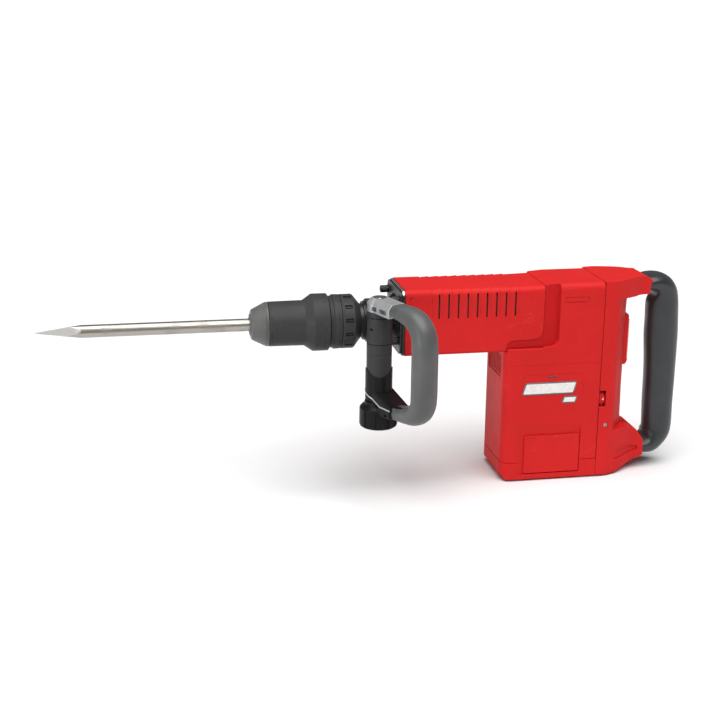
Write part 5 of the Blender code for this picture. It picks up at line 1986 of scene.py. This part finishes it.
@dataclass
class MotorBlock(SubAssembly):
    """Motor housing with its head, the bottom cap with its foot, brush covers, badge and lenses."""

    front: float = 346.0
    seam: float = 485.3
    half: float = 50.0
    motor: float = 397.0
    head_front: float = 400.8
    split: float = -42.3
    low: float = -204.0
    base: float = -229.0
    foot: float = 3.0
    crown: float = 53.0
    corner: float = 14.0
    floor: float = 43.6
    slats: int = 9

    def build(self, bench: Bench) -> None:
        """Model the housing, its cap, its covers and what is fixed to them.

        Args:
            bench: The modelling bench.
        """
        self.made["housing"] = self._housing(bench)
        self.made["bottom"] = self._bottom(bench)
        cover = self._brush_cover(bench)
        self.made["cover_left"] = bench.mirrored(cover, "brush_lid_left")
        self.made["cover_right"] = cover
        self._badge(bench)

    def _plan(self, inset: float = 0.0, rear: float = 0.0) -> list[Flat]:
        """Plan outline of the block.

        Args:
            inset: How far its front and sides stand inside the outer skin.
            rear: How far it reaches behind the seam.

        Returns:
            The outline.
        """
        half, corner = self.half - inset, self.corner - inset
        return rounded(
            [
                (self.front + inset, -half), (self.seam + rear, -half), (self.seam + rear, half),
                (self.front + inset, half),
            ],
            [corner, 0.0, 0.0, corner], 10,
        )

    def _both(self, bench: Bench, near: Piece) -> list[Piece]:
        """A cutter on the near side and its mirror image on the far side."""
        return [bench.mirrored(near, f"{near.name}_far"), near]

    def _housing(self, bench: Bench) -> Piece:
        """Lower pot and rear head in one moulding, hollow and open at the bottom and the rear.

        Args:
            bench: The modelling bench.

        Returns:
            The housing.
        """
        pot = bench.prism("motor_shell", Axis.Z, self._plan(), self.low, -37.4)
        bench.soften(pot, 1.2, 3, 50.0)
        room = bench.prism(
            "cover_seat", Axis.X, slab(-45.3, 45.3, self.split, 0.0, 0.0), 300.0, self.head_front,
        )
        bench.cut(pot, room)
        h = self.half
        section = rounded(
            [(-h, -70.0), (h, -70.0), (h, self.crown), (-h, self.crown)], [0.0, 0.0, 9.5, 9.5], 10,
        )
        head = bench.prism("head", Axis.X, section, self.head_front, self.seam)
        bench.slice(head, Axis.X, [404.0, 424.0])
        for station, lift in ((self.head_front, -2.6), (404.0, -1.6)):
            bench.push(head, lambda p, s=station: abs(p.x - s) < 0.1 and p.z > 52.0, (0.0, 0.0, lift))
        bench.soften(head, 0.9, 2, 60.0)
        bench.fuse(pot, head)
        bench.cut(pot, *self._both(bench, self._channel(bench)))
        bench.cut(pot, bench.prism("pot_room", Axis.Z, self._plan(4.0, 10.0), self.low - 8.0, -46.3))
        inner = slab(-46.0, 46.0, -70.0, self.crown - 4.0, [0.0, 0.0, 5.0, 5.0])
        bench.cut(pot, bench.prism("head_room", Axis.X, inner, 426.0, self.seam + 10.0))
        narrow = slab(-42.0, 42.0, -52.3, self.crown - 6.4, [0.0, 0.0, 5.0, 5.0])
        bench.cut(pot, bench.prism("head_mouth", Axis.X, narrow, 391.8, 430.0))
        bench.cut(pot, bench.prism("boss_hole", Axis.Z, circle(19.0, (self.motor, 0.0), 64), -70.0, -30.0))
        bench.cut(pot, *self._both(bench, self._recess(bench, self.low - 40.0)))
        bench.cut(pot, self._louvres(bench), self._parting_line(bench))
        pill = bench.prism("pill", Axis.Y, slab(426.8, 462.8, 26.4, 34.3, 3.4), -h - 4.0, 0.7 - h)
        core = bench.prism("pill_core", Axis.Y, slab(428.2, 461.4, 27.7, 33.0, 2.4), -h - 4.0, 5.0 - h)
        frame_line = self._ring_line(
            bench, slab(371.0, 461.6, -150.0, -75.0, 7.0), slab(371.8, 460.8, -154.0, -75.8, 6.3),
        )
        bench.keep_side(frame_line, Axis.Z, -112.0, 1)
        bench.cut(pot, *self._both(bench, bench.cut(pill, core)), *self._both(bench, frame_line))
        return pot

    def _ring_line(self, bench: Bench, outer: Outline, inner: Outline) -> Piece:
        """Cutter for a fine line around an outline on the near side.

        Args:
            bench: The modelling bench.
            outer: The line's outer edge.
            inner: Its inner edge.

        Returns:
            The cutter.
        """
        line = bench.prism("frame_line", Axis.Y, outer, -self.half - 4.0, 0.35 - self.half)
        core = bench.prism("frame_core", Axis.Y, inner, -self.half - 9.0, 9.0 - self.half)
        return bench.cut(line, core)

    def _channel(self, bench: Bench) -> Piece:
        """Cutter for the near side's channel in front of the head and above the pot.

        Args:
            bench: The modelling bench.

        Returns:
            The cutter.
        """
        outline = rounded(
            [(330.0, -37.4), (422.8, -37.4), (422.8, 90.0), (330.0, 90.0)], [0.0, 12.0, 0.0, 0.0], 10,
        )
        channel = bench.prism("channel", Axis.Y, outline, -60.0, -self.floor)
        bench.push(channel, lambda p: p.y > -50.0 and p.z < 80.0 and p.x > 400.0, (-1.6, 0.0, 1.6))
        bench.push(channel, lambda p: p.y > -50.0 and p.z > 80.0 and p.x > 400.0, (-1.6, 0.0, 0.0))
        return channel

    def _recess(self, bench: Bench, low: float) -> Piece:
        """Cutter for the near side's sunk field, with its sloping front and upper walls.

        Args:
            bench: The modelling bench.
            low: Where the cutter ends below.

        Returns:
            The cutter.
        """
        depth = 3.0
        corners = [(368.0, low), (461.0, low), (461.0, -149.0), (368.0, -149.0)]
        recess = bench.prism("recess", Axis.Y, corners, -self.half, depth - self.half)
        bench.push(recess, lambda p: p.y > 0.5 - self.half and p.x < 400.0, (9.0, 0.0, 0.0))
        bench.push(recess, lambda p: p.y > 0.5 - self.half and p.x > 400.0, (-0.8, 0.0, 0.0))
        bench.push(recess, lambda p: p.y > 0.5 - self.half and p.z > -160.0, (0.0, 0.0, -14.0))
        front = bench.prism("recess_mouth", Axis.Y, corners, -self.half - 6.0, 0.02 - self.half)
        return bench.gather([bench.fuse(recess, front)])

    def _louvres(self, bench: Bench) -> Piece:
        """Cutter for the air outlet in the front wall: a shallow frame with slots through it.

        Args:
            bench: The modelling bench.

        Returns:
            The cutter.
        """
        tray = bench.prism(
            "outlet", Axis.X, slab(-30.0, 30.0, -82.5, -49.0, 2.5), self.front - 9.0, self.front + 1.2,
        )
        slot = bench.prism(
            "outlet_slot", Axis.X, slab(-26.0, -22.6, -80.0, -51.5, 1.4), self.front - 7.0,
            self.front + 12.0,
        )
        return bench.fuse(tray, bench.copies(slot, self.slats, (0.0, 6.0, 0.0)))

    def _parting_line(self, bench: Bench) -> Piece:
        """Cutter for the fine line around the pot.

        Args:
            bench: The modelling bench.

        Returns:
            The cutter.
        """
        line = bench.prism("parting", Axis.Z, self._plan(-3.0, 6.0), -61.4, -60.8)
        return bench.cut(line, bench.prism("parting_core", Axis.Z, self._plan(0.35, 20.0), -70.0, -50.0))

    def _bottom(self, bench: Bench) -> Piece:
        """Cap under the motor, with its cut front edge and the round foot.

        Args:
            bench: The modelling bench.

        Returns:
            The cap.
        """
        cap = bench.prism("base_cap", Axis.Z, self._plan(), self.base, self.low - 0.3)
        trim = rounded(
            [
                (self.front - 5.0, self.low + 9.0), (self.front - 5.0, self.base + 12.0),
                (self.front + 7.0, self.base), (self.seam + 9.0, self.base),
                (self.seam + 9.0, self.low + 9.0),
            ],
            [0.0, 9.0, 9.0, 0.0, 0.0], 8,
        )
        bench.common(cap, bench.prism("cap_trim", Axis.Y, trim, -self.half - 9.0, self.half + 9.0))
        bench.soften(cap, 1.0, 3, 50.0)
        centre = (self.motor, 0.0)
        foot = [
            (self.base - self.foot, 0.0), (self.base - self.foot, 28.2),
            (self.base - self.foot + 0.8, 29.0), (self.base + 2.0, 29.0), (self.base + 2.0, 0.0),
        ]
        bench.fuse(cap, bench.turned("round_foot", Axis.Z, foot, centre, 96))
        room = slab(self.front + 12.0, self.seam - 3.7, 4.0 - self.half, self.half - 4.0, 5.0)
        bench.cut(cap, bench.prism("cap_room", Axis.Z, room, self.base + 4.0, self.low + 9.0))
        return bench.cut(cap, *self._both(bench, self._recess(bench, self.base + 7.0)))

    def _brush_cover(self, bench: Bench) -> Piece:
        """Lid over the near side's carbon brush, with its pull lip.

        Args:
            bench: The modelling bench.

        Returns:
            The lid.
        """
        near = -self.half
        lid = bench.prism(
            "brush_lid_right", Axis.Y, slab(378.5, 459.6, -220.4, -165.0, 2.0), near + 0.3, near + 2.6,
        )
        bench.soften(lid, 0.5, 2, 50.0)
        lip = bench.prism("lip", Axis.Y, slab(383.0, 393.5, -168.6, -166.9, 0.6), near - 1.0, near + 1.0)
        return bench.cut(lid, lip)

    def _badge(self, bench: Bench) -> None:
        """Two blank slanted plates with dark rims, and the two lamps above them.

        Args:
            bench: The modelling bench.
        """
        near = -self.half

        def slanted(x: Flat, z: Flat, radius: float, inset: float = 0.0) -> list[Flat]:
            """Outline of a slanted plate."""
            flat = slab(x[0] + inset, x[1] - inset, z[0] + inset, z[1] - inset, max(radius - inset, 0.4))
            return [(u + (v - z[0]) * 0.3, v) for u, v in flat]

        for name, x, z, radius in (
            ("large", (371.0, 446.5), (-104.4, -86.4), 3.2),
            ("small", (429.5, 450.0), (-118.2, -107.8), 2.2),
        ):
            rim = bench.prism(f"plate_rim_{name}", Axis.Y, slanted(x, z, radius), near - 0.55, near - 0.05)
            face = bench.prism(
                f"plate_face_{name}", Axis.Y, slanted(x, z, radius, 1.9), near - 0.95, near - 0.5,
            )
            self.made[f"rim_{name}"] = bench.soften(rim, 0.15, 1)
            self.made[f"face_{name}"] = bench.soften(face, 0.15, 1)
        for index, x in enumerate((410.6, 418.4), 1):
            lamp = bench.prism(
                f"lamp_{index}", Axis.Y, slanted((x - 2.4, x + 2.2), (-80.6, -77.6), 0.5), near - 0.5,
                near - 0.02,
            )
            self.made[f"lamp_{index}"] = bench.soften(lamp, 0.15, 1)

    def dress(self, shop: Shop) -> None:
        """Red plastic with a channel floor painted darker as shade, pale plates and dark lamps."""
        give, made = shop.hand_over, self.made
        limit = self.floor + 0.1
        housing = give(made["housing"], Body.MACHINE, "red", "red_plastic", ("motor_housing",), 28.0)
        # The channel floor gets the darker red: painted shade in the recess, plus a matt finish.
        shop.bench.paint(
            housing, shop.finishes["red_channel_shade"], lambda place,
            normal: 43.0 < abs(place.y) < limit and place.z > -38.0 and abs(normal.y) > 0.9,
        )
        give(made["bottom"], Body.MACHINE, "red", "red_plastic", ("bottom_cap",), 28.0)
        for side in ("left", "right"):
            give(made[f"cover_{side}"], Body.MACHINE, "red", "red_plastic", (f"brush_cover_{side}",), 28.0)
        for name in ("large", "small"):
            give(made[f"rim_{name}"], Body.MACHINE, "badge_dark", "badge", ("badge_plate",), 28.0)
            give(made[f"face_{name}"], Body.MACHINE, "badge", "badge", ("badge_plate",), 28.0)
        for index in (1, 2):
            give(made[f"lamp_{index}"], Body.MACHINE, "lens", "lens", (f"indicator_lens_{index}",), 28.0)


@dataclass
class RearHandle(SubAssembly):
    """Two half shells, the soft grip between their arms, the switch paddle, the dial and the inlet."""

    seam: float = 485.6
    half: float = 50.0
    low: float = -229.0
    top: float = 53.0
    wall: float = 3.5
    inlet: float = -162.0
    grip_half: float = 23.5
    paddle: float = 76.0

    def side(self, inset: float = 0.0) -> list[Flat]:
        """Side outline of the shells.

        Args:
            inset: How far it stands inside the outer skin.

        Returns:
            The outline, counter-clockwise.
        """
        x, low, i = self.seam, self.low, inset
        corners = [
            (x + 0.3 - 5 * i, low + i), (x + 31.4, low + i), (x + 80.0 - i, low + 17.0 + 0.9 * i),
            (x + 79.1 - i, low + 41.6 - 0.6 * i), (x + 67.0 - 0.7 * i, low + 58.3 - 0.8 * i),
            (x + 52.0 - 0.8 * i, low + 62.5 - 0.7 * i), (x + 46.0 - i, low + 74.0),
            (x + 45.4 - i, low + 102.0), (x + 44.5 - i, low + 118.0), (x + 44.5 - i, 5.0 + 0.4 * i),
            (x + 45.4 - 0.6 * i, 19.0 + i), (x + 53.0, 28.2 + i), (x + 74.2 - 1.1 * i, 28.6 + 0.9 * i),
            (x + 75.2 - i, 42.0), (x + 78.6 - i, 48.0 - 0.6 * i), (x + 69.0 - 0.7 * i, 54.2 - 0.9 * i),
            (x + 50.0, 55.0 - i), (x + 0.3 - 5 * i, self.top - i),
        ]
        radii = [0.0, 14.0, 3.0, 3.0, 7.0, 7.0, 8.0, 10.0, 10.0, 6.0, 7.0, 6.0, 1.5, 3.0, 2.0, 4.0, 14.0, 0.0]
        return rounded(corners, radii if not inset else [r * 0.6 for r in radii], 5)

    def plan(self, inset: float = 0.0) -> list[Flat]:
        """Plan outline of the shells.

        Args:
            inset: How far it stands inside the outer skin.

        Returns:
            The outline, counter-clockwise.
        """
        x, half, arm = self.seam, self.half - inset, 27.0 - inset
        right = [
            (x - 9.0, -half), (x + 16.0, -half), (x + 40.0, -40.0 + inset), (x + 62.0, -arm),
            (x + 110.0, -arm),
        ]
        corners = right + [(px, -py) for px, py in reversed(right)]
        return rounded(corners, [0.0, 30.0, 30.0, 24.0, 0.0, 0.0, 24.0, 30.0, 30.0, 0.0], 8)

    def build(self, bench: Bench) -> None:
        """Model the shells and what they carry.

        Args:
            bench: The modelling bench.
        """
        whole = self._whole(bench)
        other = bench.twin(whole, "back_shell_left")
        self.made["right"] = bench.keep_side(whole, Axis.Y, -0.15, -1)
        self.made["left"] = bench.keep_side(other, Axis.Y, 0.15, 1)
        self.made["grip"] = self._grip(bench)
        self.made["paddle"] = self._paddle(bench)
        self.made["dial"] = self._dial(bench)
        self.made["inlet"] = self._inlet(bench)
        self.made["screw"] = self._screw(bench)

    def _whole(self, bench: Bench) -> Piece:
        """Both shells as one hollow solid, with its windows, dial slot and finger scoops.

        Args:
            bench: The modelling bench.

        Returns:
            The solid.
        """
        x, h = self.seam, self.half
        whole = bench.prism("back_shell_right", Axis.Y, self.side(), -h, h)
        bench.common(whole, bench.prism("plan", Axis.Z, self.plan(), self.low - 9.0, 90.0))
        waist = [
            (x + 22.0, -62.0), (x + 24.0, -45.0), (x + 38.0, -26.0), (x + 46.5, -13.0), (x + 70.0, -13.0),
            (x + 70.0, -62.0),
        ]
        bench.cut(whole, *self._waists(bench, waist, self.low + 64.5, 27.6))
        bench.soften(whole, 3.2, 4, 40.0)
        hollow = bench.prism("hollow", Axis.Y, self.side(self.wall), -h + self.wall, h - self.wall)
        bench.common(hollow, bench.prism("plan_in", Axis.Z, self.plan(self.wall + 1.5), self.low - 9.0, 90.0))
        waist = [
            (x + 17.0, -62.0), (x + 19.6, -43.6), (x + 34.2, -23.6), (x + 42.6, -9.8), (x + 70.0, -9.8),
            (x + 70.0, -62.0),
        ]
        bench.cut(hollow, *self._waists(bench, waist, self.low + 60.5, 31.0))
        bench.cut(whole, hollow)
        windows = [
            bench.block("paddle_window", (x + 34.0, x + 62.0), (-12.0, 12.0), (-self.paddle - 4.5, 1.5)),
            bench.block(
                "inlet_window", (x + 34.0, x + 70.0), (-7.4, 7.4), (self.inlet - 9.0, self.inlet + 9.0),
            ),
            bench.block("dial_slot", (x - 5.0, x + 9.7), (-h - 9.0, 12.0 - h), (-127.0, -103.0)),
        ]
        bench.cut(whole, *windows)
        scoop = bench.prism("scoop", Axis.Y, self._scoop_outline(), -h - 4.0, -16.0)
        bench.cut(scoop, bench.prism("scoop_core", Axis.Z, self.plan(2.2), self.low - 9.0, 90.0))
        bench.cut(whole, bench.mirrored(scoop, "far_scoop"), scoop)
        seat = bench.turned("screw_seat", Axis.X, [(0.0, 0.0), (0.0, 3.6), (9.0, 3.6), (9.0, 0.0)], steps=32)
        bench.turn(seat, Axis.Z, -90.0, (0.0, 0.0, 0.0))
        return bench.cut(whole, bench.push(seat, lambda place: True, (497.2, -48.2, -154.5)))

    def _scoop_outline(self) -> list[Flat]:
        """Side outline of the finger scoop in the lower arm."""
        return rounded(
            [(513.0, -211.5), (556.5, -203.5), (558.0, -197.0), (541.0, -193.5), (517.0, -194.5)], 3.0, 6,
        )

    def _waists(self, bench: Bench, outline: Outline, low: float, high: float) -> list[Piece]:
        """Cutters that narrow the spine between the arms.

        Args:
            bench: The modelling bench.
            outline: Plan outline of the near one.
            low: Its lower end.
            high: Its upper end.

        Returns:
            One for each side.
        """
        near = bench.prism("waist", Axis.Z, outline, low, high)
        return [bench.mirrored(near, "far_waist"), near]

    def _grip(self, bench: Bench) -> Piece:
        """Soft grip, swept along its stations.

        Args:
            bench: The modelling bench.

        Returns:
            The grip.
        """
        g, low = self.grip_half, self.low
        stations = [
            (68.0, 38.4, 16.0, 8.6, 23.8), (79.0, 41.0, 12.0, 12.0, 26.2), (90.0, 40.4, -8.0, 14.0, 25.4),
            (97.6, 35.6, -32.0, 17.2, 23.6), (102.2, 27.2, -56.0, 20.6, 21.8),
            (104.0, 15.0, -76.0, 23.0, 20.4), (105.6, -12.0, -90.0, g + 0.2, 19.6),
            (106.4, -40.0, -90.0, g + 0.8, 19.4), (108.0, -85.0, -90.0, g - 0.8, 19.2),
            (108.4, low + 88.0, -90.0, g - 1.6, 19.4), (109.2, low + 57.0, -94.0, g - 2.2, 20.0),
            (107.4, low + 45.0, -110.0, 20.4, 21.0), (101.8, low + 36.6, -130.0, 19.0, 22.4),
            (95.6, low + 29.6, -152.0, 15.6, 24.6), (86.0, low + 27.0, -170.0, 12.4, 25.6),
            (75.0, low + 27.6, -180.0, 10.0, 24.4),
        ]
        rings = [
            Ring((self.seam + reach, 0.0, z), slope, half_in, half_across) for reach, z, slope, half_in,
            half_across in eased(stations, 3)
        ]
        return bench.swept("soft_grip", rings, 0.0, 48)

    def _paddle(self, bench: Bench) -> Piece:
        """Switch paddle with cross ribs on its face.

        Args:
            bench: The modelling bench.

        Returns:
            The paddle.
        """
        x, top = self.seam, -2.0
        low = top - self.paddle
        ribs = []
        for k in range(17):
            z = low + 7.0 + 3.6 * k
            ribs += [(x + 53.4, z), (x + 53.4, z + 1.8), (x + 52.1, z + 2.2), (x + 52.1, z + 3.3)]
        outline = [
            (x + 40.0, low), (x + 49.5, low + 0.4), (x + 51.5, low + 2.0), (x + 52.6, low + 5.0), *ribs,
            (x + 52.1, top - 4.0), (x + 50.5, top - 1.2), (x + 48.6, top), (x + 40.0, top),
        ]
        return bench.soften(bench.prism("trigger_paddle", Axis.Y, outline, -11.4, 11.4), 0.35, 2, 40.0)

    def _dial(self, bench: Bench) -> Piece:
        """Thumb wheel with a milled rim and numbers round it.

        Args:
            bench: The modelling bench.

        Returns:
            The wheel.
        """
        x, centre = self.seam + 0.6, (14.0 - self.half, -116.0)
        profile = [
            (x, 0.0), (x, 11.6), (x + 0.5, 12.3), (x + 1.2, 12.5), (x + 6.8, 12.5), (x + 7.5, 12.3),
            (x + 8.0, 11.6), (x + 8.0, 0.0),
        ]
        wheel = bench.turned("thumb_wheel", Axis.X, profile, centre, 80)
        tooth = bench.prism("mill", Axis.X, circle(0.7, (12.7, 0.0), 8), x - 2.0, x + 2.4)
        bench.push(tooth, lambda place: True, (0.0, *centre))
        bench.cut(wheel, bench.around(tooth, Axis.X, 20, (0.0, *centre)))
        digits = []
        for index in range(6):
            bpy.ops.object.select_all(action="DESELECT")
            bpy.ops.object.text_add(location=(0.0, 0.0, 0.0))
            text = bpy.context.object
            text.data.body = str(index + 1)
            text.data.size = 5.2 * MM
            text.data.align_x = "CENTER"
            text.data.align_y = "CENTER"
            text.data.extrude = 0.25 * MM
            text.data.resolution_u = 3
            bpy.ops.object.convert(target="MESH")
            digit = bpy.context.object
            digit.name = f"digit_{index}"
            turn = Matrix.Rotation(math.radians(-90.0 + 60.0 * index), 4, "X")
            spot = bench.datum.world(x + 5.0, centre[0], centre[1])
            digit.matrix_world = Matrix.Translation(spot) @ turn @ Matrix.Translation((0.0, 0.0, 12.45 * MM))
            bpy.ops.object.transform_apply(location=True, rotation=True, scale=True)
            digits.append(digit)
        self.made["digits"] = bench.gather(digits)
        self.made["digits"].name = "wheel_digits"
        return wheel

    def _inlet(self, bench: Bench) -> Piece:
        """Ribbed cord inlet.

        Args:
            bench: The modelling bench.

        Returns:
            The inlet.
        """
        x = self.seam
        outer = [(x + 30.0, 6.4)]
        for k in range(6):
            s = x + 32.0 + 3.1 * k
            outer += [(s, 6.4 - 0.15 * k), (s + 1.7, 6.4 - 0.15 * k), (s + 1.9, 5.5), (s + 2.9, 5.5)]
        outer += [(x + 50.5, 5.5), (x + 50.5, 4.4), (x + 30.0, 4.4)]
        return bench.turned("inlet_sleeve", Axis.X, outer, (0.0, self.inlet), 48)

    def _screw(self, bench: Bench) -> Piece:
        """Small cross-head screw in the near shell.

        Args:
            bench: The modelling bench.

        Returns:
            The screw.
        """
        profile = [(0.0, 0.0), (0.0, 3.4), (1.6, 3.4), (2.3, 2.6), (2.5, 1.2), (2.5, 0.0)]
        screw = bench.turned("shell_screw", Axis.X, profile, steps=40)
        for name, y, z in (("slot_a", (-2.2, 2.2), (-0.4, 0.4)), ("slot_b", (-0.4, 0.4), (-2.2, 2.2))):
            bench.cut(screw, bench.block(name, (1.2, 5.0), y, z))
        bench.turn(screw, Axis.Z, -90.0, (0.0, 0.0, 0.0))
        return bench.push(screw, lambda place: True, (497.2, -46.6, -154.5))

    def dress(self, shop: Shop) -> None:
        """Red plastic on the shells and paddle, slate rubber on the grip."""
        give, made = shop.hand_over, self.made
        give(made["right"], Body.MACHINE, "red", "red_plastic", ("handle_shell_right",), 34.0)
        give(made["left"], Body.MACHINE, "red", "red_plastic", ("handle_shell_left",), 34.0)
        give(made["grip"], Body.MACHINE, "rear_grip", "rubber", ("rear_grip",), 45.0)
        give(made["paddle"], Body.PADDLE, "red", "red_plastic", ("switch_paddle",), 30.0)
        give(made["dial"], Body.DIAL, "red", "red_plastic", ("speed_dial",), 30.0)
        give(made["digits"], Body.DIAL, "ink", "badge", (), 30.0)
        give(made["inlet"], Body.MACHINE, "rubber", "rubber", ("cord_gland",), 30.0)
        give(made["screw"], Body.MACHINE, "turned", "dark_steel", (), 30.0)


@dataclass(frozen=True)
class Works:
    """Pieces inside the tool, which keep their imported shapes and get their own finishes."""

    finishes: tuple[tuple[str, tuple[str, ...]], ...] = (
        (
            "turned",
            (
                "tool_holder", "impact_bolt", "ram", "cylinder", "wrist_pin", "crank_shaft", "crank_gear",
                "armature_shaft",
            ),
        ),
        (
            "black_steel",
            (
                "lock_bar_left", "lock_bar_right", "crank_bearing", "motor_bearing_upper",
                "motor_bearing_lower",
            ),
        ),
        ("cast", ("piston", "connecting_rod", "end_shield")), ("dark_cast", ("gearbox_housing",)),
        ("rubber", ("damping_ring",)), ("laminate", ("stator_core", "armature_core")),
        ("copper", ("field_coil_upper", "field_coil_lower", "commutator")),
        ("nylon", ("fan", "switch_body")), ("brass", ("brush_holder_left", "brush_holder_right")),
        ("carbon", ("carbon_brush_left", "carbon_brush_right")), ("board", ("control_board",)),
    )

    def dress(self, shop: Shop) -> None:
        """Put a finish on each inner piece.

        Args:
            shop: Gives the finishes.
        """
        for finish, names in self.finishes:
            for name in names:
                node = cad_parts[name]
                for slot in node.material_slots:
                    slot.material = shop.finishes[finish]
                LOG.info("%s: %s", name, finish)


# ---------------------------------------------------------------- studio


@dataclass(frozen=True)
class Studio:
    """Pale floor, a broad overhead light, a side box and the camera."""

    place: Point = (-0.586, -1.767, 0.712)
    azimuth: float = -10.9197
    elevation: float = 16.6106
    roll: float = 0.5406
    lens: float = 67.85
    floor: float = 40.0

    def build(self) -> None:
        """Set up the floor, the world, the lights and the camera."""
        self._floor()
        self._world()
        self._sun("key", (-0.05, -0.29, 0.95), 4.4, 1.2)
        self._light("side_box", (-1.6, -0.7, 0.35), (0.1, 0.0, 0.2), 0.5, 5.5)
        self._camera()

    def _floor(self) -> None:
        """Wide matt floor with a faint weave of tone."""
        bpy.ops.object.select_all(action="DESELECT")
        bpy.ops.mesh.primitive_plane_add(size=self.floor * 2, location=(0.0, 0.0, 0.0))
        plane = bpy.context.object
        plane.name = "studio_floor"
        g = Graph("floor_paper")
        tone = g.noise(6.0, 3.0)
        g.finish(
            {
                "Base Color": g.mix(tone.stepped(0.3, 0.7), (0.75, 0.75, 0.75), (0.77, 0.77, 0.77)),
                "Roughness": (tone - 0.5) * 0.1 + 0.9, "Specular IOR Level": 0.1,
            }
        )
        plane.data.materials.append(g.material)
        plane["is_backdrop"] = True

    def _world(self) -> None:
        """Even white surroundings."""
        world = bpy.data.worlds.new("surroundings")
        bpy.context.scene.world = world
        world.use_nodes = True
        back = world.node_tree.nodes["Background"]
        back.inputs["Color"].default_value = (1.0, 1.0, 1.0, 1.0)
        back.inputs["Strength"].default_value = 0.12
        bpy.context.scene.view_settings.view_transform = "Standard"

    @staticmethod
    def _sun(name: str, toward: Point, strength: float, angle: float) -> None:
        """Add a distant light as wide as an overcast patch of sky.

        Args:
            name: Name of the light.
            toward: Direction from the tool to the light.
            strength: Its irradiance.
            angle: How wide it is, in radians.
        """
        data = bpy.data.lights.new(name, "SUN")
        data.energy = strength
        data.angle = angle
        light = bpy.data.objects.new(name, data)
        bpy.context.scene.collection.objects.link(light)
        light.rotation_euler = (-Vector(toward)).to_track_quat("-Z", "Y").to_euler()

    @staticmethod
    def _light(name: str, place: Point, aim: Point, size: float, power: float) -> None:
        """Add a square soft light that faces a point.

        Args:
            name: Name of the light.
            place: Where it hangs, in metres.
            aim: Where it points.
            size: Length of its side.
            power: Its power in watts.
        """
        data = bpy.data.lights.new(name, "AREA")
        data.shape = "SQUARE"
        data.size = size
        data.energy = power
        light = bpy.data.objects.new(name, data)
        bpy.context.scene.collection.objects.link(light)
        light.location = place
        light.rotation_euler = (Vector(aim) - Vector(place)).to_track_quat("-Z", "Y").to_euler()

    def _camera(self) -> None:
        """Place the camera at its azimuth, elevation and roll."""
        turn, rise, roll = (math.radians(v) for v in (self.azimuth, self.elevation, self.roll))
        back = Vector((math.sin(turn) * math.cos(rise), -math.cos(turn) * math.cos(rise), math.sin(rise)))
        right = (-back).cross(Vector((0.0, 0.0, 1.0))).normalized()
        up = back.cross(right)
        side = math.cos(roll) * right + math.sin(roll) * up
        over = math.cos(roll) * up - math.sin(roll) * right
        data = bpy.data.cameras.new("camera")
        data.lens = self.lens
        data.sensor_width = 36.0
        data.clip_end = 200.0
        camera = bpy.data.objects.new("camera", data)
        bpy.context.scene.collection.objects.link(camera)
        turned = Matrix((side, over, back)).transposed().to_4x4()
        camera.matrix_world = Matrix.Translation(self.place) @ turned
        bpy.context.scene.camera = camera


def main() -> None:
    """Build, dress and light the tool."""
    logging.basicConfig(level=logging.INFO, format="%(message)s")
    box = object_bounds()
    before = (box[0].copy(), box[1].copy())
    Studio().build()
    shop = Shop(Bench(Datum.from_frame()), Finishes())
    for group in (PointChisel(), ToolHead(), Neck(), SideHandle(), BarrelCover(), MotorBlock(), RearHandle()):
        group.build(shop.bench)
        group.dress(shop)
        LOG.info("%s done, %d pieces so far", type(group).__name__, shop.count)
    Works().dress(shop)


if __name__ == "__main__":
    main()
